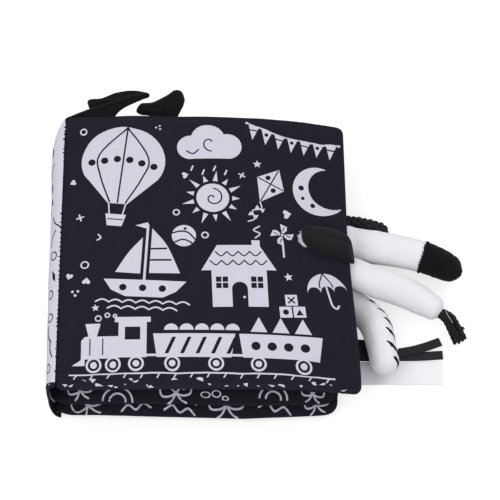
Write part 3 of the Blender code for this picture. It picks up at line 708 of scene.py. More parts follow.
def spine_print(seed, half_x, half_y, tuck):
    """Black strokes and rings on the white spine, and the black tuck at its foot end."""

    def draw_strip(pen):
        draw = random.Random(seed)
        y = -half_y + 14
        while y < half_y - 7:
            x, turn = draw.uniform(-0.6, 0.6) * half_x, 90 + draw.uniform(-38, 38)
            kind = draw.choice(("dash", "loop", "ring", "zigzag", "dash", "petal"))
            here = pen.at(x, y, 1.5, turn)
            if kind == "dash":
                here.curve([(-4, -0.6), (0, 0.7), (4, 0.2)], 1.1)
            elif kind == "loop":
                here.curve([(-5, -2), (-1, 2), (3, 0), (0, -2), (5, 2)], 1.1)
            elif kind == "ring":
                here.ring(0, 0, 2.2, 0.9)
            elif kind == "petal":
                here.area([(-3.5, 0), (-1, 1.2), (3, 0.3), (0, -1.0)])
            else:
                here.line([(-5, 0), (-2.5, 2.4), (0, 0), (2.5, 2.4), (5, 0)], 0.9)
            y += draw.uniform(9, 17)
        low, high = tuck
        middle = (low + high) / 2 + 0.5
        pen.area([(-half_x, -half_y - 1), (half_x, -half_y - 1), (half_x, -half_y + high),
                  (0, -half_y + middle), (-half_x, -half_y + low)])
        for _ in range(2):
            x, y = draw.uniform(-0.7, 0.4) * half_x, draw.uniform(1.6, 2.6) - half_y
            wide = draw.uniform(0.6, 1.4)
            pen.area([(x, y), (x + wide, y - 0.4), (x + wide * 1.3, y + 0.6), (x + 0.3, y + 0.9)], False)

    return draw_strip


def finer_edges(shape, longest):
    """A closed shape with points added along its long edges."""
    finer = []
    for (ax, ay), (bx, by) in zip(shape, [*shape[1:], shape[0]]):
        count = max(1, math.ceil(math.hypot(bx - ax, by - ay) / longest))
        finer.extend((ax + (bx - ax) * i / count, ay + (by - ay) * i / count) for i in range(count))
    return finer


def cut_cloth(outline, shapes, spacing):
    """Flat triangles of a cloth with its print: points, triangles, and 1 for each printed triangle."""
    points, edges = list(outline), []
    shapes = [(finer_edges(shape, spacing * 1.1), is_printed) for shape, is_printed in shapes]
    for shape, _ in shapes:
        start, count = len(points), len(shape)
        edges.extend((start + i, start + (i + 1) % count) for i in range(count))
        points.extend(shape)
    low = np.min(outline, axis=0)
    high = np.max(outline, axis=0)
    border = [Vector(p) for p in outline]
    for row, y in enumerate(np.arange(low[1] + spacing / 2, high[1], spacing * 0.87)):
        for x in np.arange(low[0] + spacing * (0.5 + 0.5 * (row % 2)), high[0], spacing):
            if inside(x, y, border, spacing * 0.35):
                points.append((x, y))
    vertices, _, triangles, _, _, _ = delaunay_2d_cdt(
        [Vector(p) for p in points], edges, [list(range(len(outline)))], 1, 1e-3
    )
    flat = np.array([tuple(v) for v in vertices])
    triangles = np.array([tuple(t) for t in triangles])
    kept = wound_round(flat[triangles].mean(axis=1), np.array(outline, float))
    used, compact = np.unique(triangles[np.sort(kept)], return_inverse=True)
    flat, triangles = flat[used], compact.reshape(-1, 3)
    centres = flat[triangles].mean(axis=1)
    printed = np.zeros(len(triangles), int)
    for shape, is_printed in shapes:
        printed[wound_round(centres, np.array([tuple(p) for p in shape]))] = int(is_printed)
    return flat, [tuple(int(i) for i in t) for t in triangles], printed.tolist()


def wound_round(places, shape):
    """Indices of the places that a closed shape winds round."""
    near = np.nonzero(np.all((places >= shape.min(axis=0)) & (places <= shape.max(axis=0)), axis=1))[0]
    x, y = places[near, 0, None], places[near, 1, None]
    (ax, ay), (bx, by) = shape.T, np.roll(shape, -1, axis=0).T
    left = (bx - ax) * (y - ay) - (x - ax) * (by - ay)
    turns = ((ay <= y) & (by > y) & (left > 0)).sum(axis=1) - ((ay > y) & (by <= y) & (left < 0)).sum(axis=1)
    return near[turns != 0]


def inside(x, y, border, margin):
    """True where a point lies in the border, a margin away from its four sides."""
    crossings = False
    for a, b in zip(border, border[1:] + border[:1]):
        if (a.y > y) != (b.y > y) and x < a.x + (y - a.y) / (b.y - a.y) * (b.x - a.x):
            crossings = not crossings
    if not crossings:
        return False
    near = min(abs(x - p.x) + abs(y - p.y) for p in border)
    return near > margin


def closed_shell(name, flat, triangles, printed, outer, inner, normals, materials, through=0):
    """A closed cloth of two layers over the same triangles; through is 1 where the print soaks through."""
    count = len(flat)
    faces = list(triangles) + [tuple(i + count for i in reversed(t)) for t in triangles]
    indices = list(printed) + [mark * through for mark in printed]
    uses = {}
    for (a, b, c), mark in zip(triangles, printed):
        for edge in ((a, b), (b, c), (c, a)):
            uses[edge] = mark * through
    for (a, b), mark in uses.items():
        if (b, a) not in uses:
            faces.append((b, a, a + count, b + count))
            indices.append(mark)
    everything = np.concatenate([normals, -normals])
    return mesh_piece(name, np.concatenate([outer, inner]), faces, materials, indices, everything)


# The spine's extent, from the strips of the frame
strips = ("back_spine_cloth", "leaf_2_spine_cloth", "leaf_1_spine_cloth", "front_spine_cloth")
strip_boxes = [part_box(name) for name in strips]
spine_seam_x = max(high.x for low, high in strip_boxes)
spine_outer_x = min(low.x for low, high in strip_boxes)
spine_low = strip_boxes[0][0].z
spine_high = strip_boxes[-1][1].z
spine_half_y = strip_boxes[0][1].y
spine_thickness = 1.2 * mm

# How slack the spine is, by places along the book in millimetres
kept_places = (-101, -99.6, -97.5, -94, -88, -75, -60, 0, 30, 42, 54, 63, 72, 80, 86, 92, 97, 101)
kept_shares = (
    0.02, 0.30, 0.58, 0.72, 0.71, 0.74, 0.78, 0.84, 0.83, 0.82,
    0.89, 0.95, 0.96, 0.93, 0.83, 0.66, 0.40, 0.10,
)


def spine_kept(y):
    """The share of its bulge that the spine keeps along the book: it slackens, and closes at both ends."""
    return np.interp(y / mm, kept_places, kept_shares)


def grid_shell_faces(columns, rows):
    """Quads of a closed form that has two layers of the same grid of points."""
    count = columns * rows
    index = np.arange(count).reshape(columns, rows)
    faces = []
    for i in range(columns - 1):
        for j in range(rows - 1):
            a, b, c, d = index[i, j], index[i + 1, j], index[i + 1, j + 1], index[i, j + 1]
            faces.append((a, b, c, d))
            faces.append((a + count, d + count, c + count, b + count))
    ring = [*index[:, 0], *index[-1, 1:], *index[-2::-1, -1], *index[0, -2:0:-1]]
    for a, b in zip(ring, ring[1:] + ring[:1]):
        faces.append((b, a, a + count, b + count))
    return [tuple(int(i) for i in face) for face in faces]


class Panel:
    """The two faces of a padded panel as height fields, read from the frame and made softer."""

    def __init__(self, prefix, upper, lower, caps, corner=leaf_corner, lean=0.0, belly=0.0, rolled=False):
        self.prefix, self.upper, self.lower = prefix, f"{prefix}_{upper}_cloth", f"{prefix}_{lower}_cloth"
        self.caps, self.corner, self.lean, self.belly, self.rolled = caps, corner, lean, belly, rolled
        low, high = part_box(self.upper)
        self.middle = Vector(((low.x + high.x) / 2, (low.y + high.y) / 2))
        self.half = Vector(((high.x - low.x) / 2, (high.y - low.y) / 2))
        columns = round(2 * self.half.x / panel_spacing) + 1
        rows = round(2 * self.half.y / panel_spacing) + 1
        self.xs = np.linspace(low.x, high.x, columns)
        self.ys = np.linspace(low.y, high.y, rows)
        self.grid_x, self.grid_y = np.meshgrid(self.xs, self.ys, indexing="ij")
        self.inset = self.edge_distance(self.grid_x, self.grid_y)
        self.top = self.soften(self.read(self.upper, 1), 1)
        self.bottom = self.soften(self.read(self.lower, -1), 2)

    def edge_distance(self, x, y):
        """How far inside the rounded outline a point lies."""
        across = np.abs(x - self.middle.x) - (self.half.x - self.corner)
        along = np.abs(y - self.middle.y) - (self.half.y - self.corner)
        outside = np.hypot(np.maximum(across, 0), np.maximum(along, 0))
        return self.corner - outside - np.minimum(np.maximum(across, along), 0)

    def read(self, node, side):
        tree = tree_of(node)
        field = np.zeros_like(self.grid_x)
        keep = 1 - 1.2 * mm / self.half.x
        for index in np.ndindex(field.shape):
            x = self.middle.x + (self.grid_x[index] - self.middle.x) * keep
            y = self.middle.y + (self.grid_y[index] - self.middle.y) * keep
            hit = tree.ray_cast(Vector((x, y, side)), Vector((0, 0, -side)))[0]
            hit = hit or tree.find_nearest(Vector((x, y, 0.03)))[0]
            field[index] = hit.z
        return field

    def soften(self, field, seed):
        """Rounds the facets off away from the rim, and adds puckers at the seam and broad dents."""
        smooth = field.copy()
        for _ in range(26):
            middle = smooth[1:-1, 1:-1]
            around = smooth[:-2, 1:-1] + smooth[2:, 1:-1] + smooth[1:-1, :-2] + smooth[1:-1, 2:]
            smooth[1:-1, 1:-1] = middle * 0.4 + around * 0.15
        share = np.clip((self.inset - firm_rim) / soft_rim, 0, 1)
        field = field * (1 - share) + smooth * share
        relief = np.zeros_like(field)
        for index in np.ndindex(field.shape):
            place = Vector((self.grid_x[index], self.grid_y[index], seed * 0.2 + len(self.prefix) * 0.1))
            broad = noise.noise(place * 24) * 0.5 * mm
            pucker = noise.noise(Vector((place.x * 150, place.y * 150, place.z))) * 0.75 * mm
            near = math.exp(-(((self.inset[index] - 0.006) / 0.0055) ** 2))
            relief[index] = broad * min(self.inset[index] / 0.02, 1) + pucker * near
        return field + relief

    def puffed(self):
        """The panel as one closed mesh on the grid, for the cloth simulation."""
        top = np.stack([self.grid_x, self.grid_y, self.top], -1).reshape(-1, 3)
        bottom = np.stack([self.grid_x, self.grid_y, self.bottom], -1).reshape(-1, 3)
        return np.concatenate([top, bottom]), grid_shell_faces(*self.top.shape)

    def simulate(self):
        """Inflates the panel as cloth with its rim held, and keeps the heights within their caps."""
        points, faces = self.puffed()
        inset = np.concatenate([self.inset.ravel(), self.inset.ravel()])
        moved = inflate(f"{self.prefix}_trial", points, faces, inset < held_rim)
        change = (moved - points)[:, 2].reshape(2, *self.top.shape)
        for side, cap in enumerate(self.caps):
            lift = np.clip(change[side], -cap, cap)
            ease = np.clip((self.inset - firm_rim) / 0.006, 0, 1)
            if side == 0:
                self.top = self.top + lift * ease
            else:
                self.bottom = self.bottom + lift * ease

    def sample(self, field, x, y):
        fx = np.clip((x - self.xs[0]) / (self.xs[1] - self.xs[0]), 0, len(self.xs) - 1.001)
        fy = np.clip((y - self.ys[0]) / (self.ys[1] - self.ys[0]), 0, len(self.ys) - 1.001)
        i, j = fx.astype(int), fy.astype(int)
        u, v = fx - i, fy - j
        return (
            field[i, j] * (1 - u) * (1 - v) + field[i + 1, j] * u * (1 - v)
            + field[i, j + 1] * (1 - u) * v + field[i + 1, j + 1] * u * v
        )

    def height(self, x, y, side):
        """Height of a face: rounded over at the rim, with a groove along the stitching."""
        x, y = np.asarray(x, float), np.asarray(y, float)
        top, bottom = self.sample(self.top, x, y), self.sample(self.bottom, x, y)
        seam = (top + bottom) / 2
        inset = np.maximum(self.edge_distance(x, y), 0)
        swell = np.sqrt(1 - (1 - np.minimum(inset / rim_round, 1)) ** 2)
        groove_at, groove_depth = (roll_width, 0.8 * mm) if self.rolled else (seam_inset, seam_groove)
        groove = groove_depth * np.exp(-(((inset - groove_at) / (0.7 * mm)) ** 2))
        face = top if side > 0 else bottom
        face = seam + (face - seam) * swell - side * groove
        if not self.rolled:
            return face
        roll = np.sqrt(np.clip(1 - ((inset - roll_width / 2) / (roll_width / 2)) ** 2, 0, 1))
        hang = roll_drop * (1 + 0.6 * smooth_share(-y, 90 * mm, 99 * mm))
        if side > 0:
            return np.maximum(face, seam + roll_rise * roll)
        return np.minimum(face, seam - hang * roll)

    def place(self, x, y):
        """Where a point of the flat panel lies, as the sewn edges lean, bulge out and pull in."""
        half_y, left = self.half.y, self.middle.x - self.half.x
        outward = smooth_share(x, 40 * mm, self.middle.x + self.half.x)
        lean = (-2.6 + 5.1 * smooth_share(-y, -25 * mm, 95 * mm)) * mm * outward * self.lean
        slack = max(spine_seam_x - left, 0) * (1 - spine_kept(y))
        pulled = slack * (1 - smooth_share(x, left, left + 35 * mm))
        bulge = np.interp(x / mm, belly_places, belly_depths[self.prefix]) * mm
        dip = 1.1 * mm * self.lean * smooth_share(x, 60 * mm, 100 * mm)
        foot = smooth_share(-y, half_y - 22 * mm, half_y)
        drawn_in = self.belly * 4.2 * mm * smooth_share(x, 60 * mm, 92 * mm)
        drawn_in = drawn_in * smooth_share(-y, 66 * mm, 92 * mm)
        head = self.lean * (1.9 - 1.0 * smooth_share(x, 60 * mm, 100 * mm)) * mm
        wider = self.lean * 1.5 * mm * (1 - smooth_share(x, 0, 88 * mm)) * smooth_share(-y, 94 * mm, half_y)
        head = head + self.lean * 0.9 * mm * np.exp(-(((x + 42 * mm) / (14 * mm)) ** 2))
        at_y = y - (bulge + dip) * foot - wider + head * smooth_share(y, 60 * mm, half_y)
        return x + lean + pulled - drawn_in, at_y

    def surface(self, x, y, side):
        """Points of a face in space; where an edge has moved, its height follows the book's droop."""
        x, y = np.asarray(x, float), np.asarray(y, float)
        at_x, at_y = self.place(x, y)
        z = self.height(x, y, side) * droop(at_x, at_y) / droop(x, y)
        return np.stack([at_x, at_y, z], -1)

    def outline(self):
        """Points of the rounded outline, in millimetres from its middle."""
        half_x, half_y, corner = self.half.x / mm, self.half.y / mm, self.corner / mm
        points = []
        for quarter, (sx, sy) in enumerate(((1, 1), (-1, 1), (-1, -1), (1, -1))):
            for i in range(9):
                t = math.radians(90 * (quarter + i / 8))
                points.append((sx * (half_x - corner) + corner * math.cos(t),
                               sy * (half_y - corner) + corner * math.sin(t)))
            nx, ny = ((-1, 1), (-1, -1), (1, -1), (1, 1))[quarter]
            start = points[-1]
            goal = (start[0], ny * (half_y - corner)) if quarter % 2 else (nx * (half_x - corner), start[1])
            for i in range(1, 60):
                points.append((start[0] + (goal[0] - start[0]) * i / 60,
                               start[1] + (goal[1] - start[1]) * i / 60))
        return points

    def face_cloth(self, side, draw):
        """One cloth face with its print, cut out and laid on the height field."""
        shapes = []
        draw(Pen(shapes))
        flat, triangles, printed = cut_cloth(self.outline(), shapes, print_spacing)
        x, y = self.middle.x + flat[:, 0] * mm, self.middle.y + flat[:, 1] * mm
        outer = self.surface(x, y, side)
        step = 0.4 * mm
        normals = np.cross(
            self.surface(x + step, y, side) - self.surface(x - step, y, side),
            self.surface(x, y + step, side) - self.surface(x, y - step, side),
        )
        normals /= np.linalg.norm(normals, axis=1)[:, None] + 1e-15
        gap = np.abs(outer[:, 2] - self.surface(x, y, -side)[:, 2])
        inner = outer.copy()
        inner[:, 2] -= side * np.minimum(cloth_thickness, gap * 0.42)
        if side < 0:
            triangles = [tuple(reversed(t)) for t in triangles]
            normals = -normals
        node = self.upper if side > 0 else self.lower
        piece = closed_shell(f"{node}_printed", flat, triangles, printed, outer, inner, normals,
                             [black_cloth, white_print])
        edge = np.exp(-np.maximum(self.edge_distance(x, y), 0) / wear_reach)
        wear = piece.data.attributes.new("edge", "FLOAT", "POINT")
        wear.data.foreach_set("value", np.concatenate([edge, edge]).astype(np.float32))
        return dress(piece, self.prefix, "black_cloth", node)

    def pad(self, has_film):
        """The wadding, a closed form just inside the two cloths."""
        points, faces = self.puffed()
        count = len(points) // 2
        centre = np.array([self.middle.x, self.middle.y])
        flat = centre + (points[:count, :2] - centre) * (1 - pad_inset / self.half.x)
        upper, lower = (self.surface(flat[:, 0], flat[:, 1], side) for side in (1, -1))
        middle = (upper[:, 2] + lower[:, 2]) / 2
        room = (upper[:, 2] - lower[:, 2]) / 2 - cloth_thickness - pad_gap
        rounded = np.clip(self.inset.ravel() / soft_rim, 0, 1) ** 0.5
        over = np.maximum(room - (film_room if has_film else 0), pad_least) * rounded
        under = np.maximum(room, pad_least) * rounded
        points = np.concatenate([
            np.stack([upper[:, 0], upper[:, 1], middle + over], -1),
            np.stack([lower[:, 0], lower[:, 1], middle - under], -1),
        ])
        piece = mesh_piece(f"{self.prefix}_wadding", points, faces, [wadding])
        return dress(piece, self.prefix, "wadding", f"{self.prefix}_pad")

    def crinkle(self):
        """The thin film over the wadding of a leaf, crinkled all over."""
        low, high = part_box(f"{self.prefix}_crinkle_film")
        xs, ys = np.linspace(low.x, high.x, 40), np.linspace(low.y, high.y, 42)
        points = []
        for layer in (1, 0):
            for x in xs:
                for y in ys:
                    wave = noise.noise(Vector((x, y, 1)) * 160) * 0.12 * mm
                    at = self.surface(x, y, 1)
                    z = at[2] - cloth_thickness - 0.55 * mm + wave + layer * 0.15 * mm
                    points.append((at[0], at[1], z))
        piece = mesh_piece(f"{self.prefix}_film", points, grid_shell_faces(len(xs), len(ys)), [film])
        return dress(piece, self.prefix, "crinkle_film", f"{self.prefix}_crinkle_film")

    def stitching(self):
        """Running stitches along the rim on both faces."""
        points, faces = [], []
        inset = roll_width if self.rolled else seam_inset
        half_x, half_y = self.half.x - inset, self.half.y - inset
        corner = self.corner - inset
        runs = (
            ((half_x, -half_y + corner), (half_x, half_y - corner)),
            ((half_x - corner, half_y), (-half_x + corner, half_y)),
            ((-half_x + corner, -half_y), (half_x - corner, -half_y)),
        )
        for start, end in runs:
            span = math.hypot(end[0] - start[0], end[1] - start[1])
            along = Vector((end[0] - start[0], end[1] - start[1])) / span
            for k in range(int(span / stitch_pitch)):
                at = Vector(start) + along * (k + 0.5) * stitch_pitch
                for side in (1, -1):
                    ends = []
                    for share in (-0.5, -0.25, 0.25, 0.5):
                        x = self.middle.x + at.x + along.x * share * stitch_length
                        y = self.middle.y + at.y + along.y * share * stitch_length
                        sunk = stitch_radius * (0.9 if abs(share) == 0.5 else -0.35)
                        at_x, at_y, z = self.surface(x, y, side)
                        ends.append(Vector((at_x, at_y, z - side * sunk)))
                    add_stitch(points, faces, ends, stitch_radius)
        piece = mesh_piece(f"{self.prefix}_stitches", points, faces, [thread])
        return dress(piece, self.prefix, "black_cloth")


def cord_faces(rings, sides, start=0):
    """Quads round a cord whose rings follow one another, with a fan at each end."""
    faces = []
    for i in range(rings - 1):
        for k in range(sides):
            a, b = start + i * sides + k, start + i * sides + (k + 1) % sides
            faces.append((a, b, b + sides, a + sides))
    last = start + (rings - 1) * sides
    faces.append(tuple(start + k for k in reversed(range(sides))))
    faces.append(tuple(last + k for k in range(sides)))
    return faces


def add_stitch(points, faces, path, radius, sides=5):
    """A short thread along a path, closed at both ends."""
    start = len(points)
    for i, point in enumerate(path):
        along = (path[min(i + 1, len(path) - 1)] - path[max(i - 1, 0)]).normalized()
        side = along.cross(Vector((0.31, 0.17, 0.93))).normalized()
        up = along.cross(side)
        thick = radius * (0.55 if i in (0, len(path) - 1) else 1)
        for k in range(sides):
            t = 2 * math.pi * k / sides
            points.append(point + (side * math.cos(t) + up * math.sin(t)) * thick)
    faces.extend(cord_faces(len(path), sides, start))


def inflate(name, points, faces, held, pressure=4.0, shrink=-0.02):
    """Runs the cloth simulation on a closed mesh and gives its points at the end."""
    trial = mesh_piece(name, points, faces, [])
    group = trial.vertex_groups.new(name="held")
    group.add([int(i) for i in np.nonzero(held)[0]], 1.0, "REPLACE")
    cloth = trial.modifiers.new("cloth", "CLOTH")
    settings = cloth.settings
    settings.quality = 4
    settings.mass = 0.15
    settings.tension_stiffness = 12
    settings.compression_stiffness = 12
    settings.bending_stiffness = 0.4
    settings.vertex_group_mass = "held"
    settings.use_pressure = True
    settings.uniform_pressure_force = pressure
    settings.shrink_min = shrink
    settings.effector_weights.gravity = 0
    cloth.collision_settings.use_collision = False
    cloth.point_cache.frame_start = 1
    cloth.point_cache.frame_end = 20
    scene = bpy.context.scene
    for step in range(1, 21):
        scene.frame_set(step)
    graph = bpy.context.evaluated_depsgraph_get()
    result = trial.evaluated_get(graph).to_mesh()
    moved = np.zeros(len(points) * 3, np.float32)
    result.vertices.foreach_get("co", moved)
    mesh = trial.data
    bpy.data.objects.remove(trial)
    bpy.data.meshes.remove(mesh)
    scene.frame_set(1)
    return moved.reshape(-1, 3).astype(float)


front_cover = Panel(
    "front_cover", "outer", "inner", (1.3 * mm, 0.3 * mm), corner=cover_corner, lean=1.0, rolled=True
)
leaf_1 = Panel("leaf_1", "upper", "lower", (0.3 * mm, 0.3 * mm), belly=0.75)
leaf_2 = Panel("leaf_2", "upper", "lower", (0.3 * mm, 0.3 * mm), belly=0.85)
back_cover = Panel("back_cover", "inner", "outer", (0.3 * mm, 0.0), belly=1.0)
panels = (front_cover, leaf_1, leaf_2, back_cover)
for panel in panels:
    panel.simulate()

front_cover.face_cloth(1, cover_print)
front_cover.face_cloth(-1, page_print(3))
for seed, panel in enumerate(panels[1:]):
    panel.face_cloth(1, page_print(11 + seed))
    panel.face_cloth(-1, page_print(21 + seed))
for panel in panels:
    panel.pad(has_film=panel.prefix.startswith("leaf"))
    panel.stitching()
leaf_1.crinkle()
leaf_2.crinkle()


def spine_section(count=600):
    """Points of the spine's cross-section from its foot to its top, with the length up to each."""
    middle, half = (spine_low + spine_high) / 2, (spine_high - spine_low) / 2
    reach = spine_seam_x - spine_outer_x
    path = []
    for i in range(count + 1):
        turn = math.radians(-90 + 180 * i / count)
        rise = math.copysign(abs(math.sin(turn)) ** 0.5, turn)
        path.append((spine_seam_x - reach * math.cos(turn), middle + half * rise))
    path = np.array(path)
    steps = np.hypot(*np.diff(path, axis=0).T)
    return path, np.concatenate([[0], np.cumsum(steps)])


section, section_length = spine_section()
spine_stretch = 1.018


def spine_point(length, y, depth):
    """A point of the spine's cloth, by its length along the cross-section and its depth inside."""
    x = np.interp(length, section_length, section[:, 0])
    z = np.interp(length, section_length, section[:, 1])
    step = 0.5 * mm
    dx, dz = (
        np.interp(length + step, section_length, line) - np.interp(length - step, section_length, line)
        for line in (section[:, 0], section[:, 1])
    )
    norm = np.hypot(dx, dz) + 1e-12
    out_x, out_z = -dz / norm, dx / norm
    base = spine_seam_x + (x - spine_seam_x) * spine_kept(y)
    return np.stack([base - out_x * depth, y * spine_stretch, z - out_z * depth], -1)


def spine_dent(length, y):
    """Soft dents of the spine, by noise over its surface."""
    return np.array([
        noise.noise(Vector((a * 90, b * 34, 2))) * 0.55 * mm
        + noise.noise(Vector((a * 200, b * 120, 5))) * 0.2 * mm
        for a, b in zip(length, y)
    ])


def hinge_z(joint):
    return next(j["pos_m"][2] for j in frame["joints"] if j["name"] == joint)


def length_at(z):
    return float(np.interp(z, section[:, 1], section_length))


def spine_length(name, low_length, high_length, replaced, seed, tuck):
    """One length of spine cloth, with its print, between two places along the spine's cross-section."""
    half_x, half_y = (high_length - low_length) / 2 / mm, spine_half_y / mm
    corners = ((-half_x, -half_y), (half_x, -half_y), (half_x, half_y), (-half_x, half_y))
    outline = []
    for (ax, ay), (bx, by) in zip(corners, corners[1:] + corners[:1]):
        count = max(2, round(math.hypot(bx - ax, by - ay) / 2.5))
        outline.extend((ax + (bx - ax) * i / count, ay + (by - ay) * i / count) for i in range(count))
    shapes = []
    spine_print(seed, half_x, half_y, tuck)(Pen(shapes))
    flat, triangles, printed = cut_cloth(outline, shapes, 2.0)
    length = (low_length + high_length) / 2 + flat[:, 0] * mm
    y = flat[:, 1] * mm
    dent = spine_dent(length, y)
    outer = spine_point(length, y, dent + 0.15 * mm)
    inner = spine_point(length, y, dent + 0.15 * mm + spine_thickness)
    step = 0.4 * mm
    along = spine_point(length + step, y, spine_dent(length + step, y)) - spine_point(
        length - step, y, spine_dent(length - step, y))
    across = spine_point(length, y + step, spine_dent(length, y + step)) - spine_point(
        length, y - step, spine_dent(length, y - step))
    normals = np.cross(along, across)
    normals /= np.linalg.norm(normals, axis=1)[:, None]
    cloths = [white_cloth, black_print]
    piece = closed_shell(name, flat, triangles, printed, outer, inner, normals, cloths, through=1)
    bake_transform(piece)
    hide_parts(*replaced)


leaf_2_middle = (hinge_z("leaf_2_turn") + hinge_z("leaf_1_turn")) / 2
leaf_1_middle = (hinge_z("leaf_1_turn") + hinge_z("front_cover_turn")) / 2
spine_length("spine_foot_length", 0, length_at(leaf_2_middle),
             ["back_spine_cloth", "leaf_2_spine_cloth"], 31, (9.0, 6.0))
spine_length("spine_middle_length", length_at(leaf_2_middle), length_at(leaf_1_middle),
             ["leaf_1_spine_cloth"], 32, (5.0, 4.2))
spine_length("spine_head_length", length_at(leaf_1_middle), section_length[-1],
             ["front_spine_cloth"], 33, (4.2, 3.0))


def whip_stitches():
    """The ragged black seam where the front cover meets the white spine: small uneven bumps of cloth."""
    draw = random.Random(12)
    points, faces = [], []
    left = front_cover.middle.x - front_cover.half.x
    y = -front_cover.half.y + 5 * mm
    while y < front_cover.half.y - 5 * mm:
        reach, lean = draw.uniform(0.5, 1.6) * mm, draw.uniform(-0.8, 0.8) * mm
        path = []
        for share in (0, 0.35, 0.7, 1):
            x = left + 1.4 * mm - share * (1.4 * mm + reach)
            surface = front_cover.surface(max(x, left + 0.5 * mm), y, 1)[2]
            drop = (0.2 + 1.3 * max(share - 0.5, 0)) * mm
            path.append(Vector((x, y + share * lean, float(surface) - drop)))
        add_stitch(points, faces, path, draw.uniform(0.45, 0.85) * mm, 7)
        y += draw.uniform(2.4, 3.9) * mm
    piece = mesh_piece("spine_whip_stitches", points, faces, [black_cloth])
    return dress(piece, "front_cover", "black_cloth")


whip_stitches()


def settled(piece):
    """Applies the piece's modifiers to its mesh."""
    graph = bpy.context.evaluated_depsgraph_get()
    mesh = bpy.data.meshes.new_from_object(piece.evaluated_get(graph))
    piece.modifiers.clear()
    old = piece.data
    piece.data = mesh
    bpy.data.meshes.remove(old)


def vertices_of(piece):
    values = np.zeros(len(piece.data.vertices) * 3, np.float32)
    piece.data.vertices.foreach_get("co", values)
    return values.reshape(-1, 3).astype(float)


def move_vertices(piece, points):
    piece.data.vertices.foreach_set("co", points.astype(np.float32).ravel())
    piece.data.update()


def noise_layers(points, layers):
    """How far noise pushes each point out, from layers of a size and a depth."""
    push = np.zeros(points.shape[:-1])
    for size, depth in layers:
        values = [noise.noise(Vector(p) / size) for p in points.reshape(-1, 3)]
        push += np.array(values).reshape(push.shape) * depth
    return push


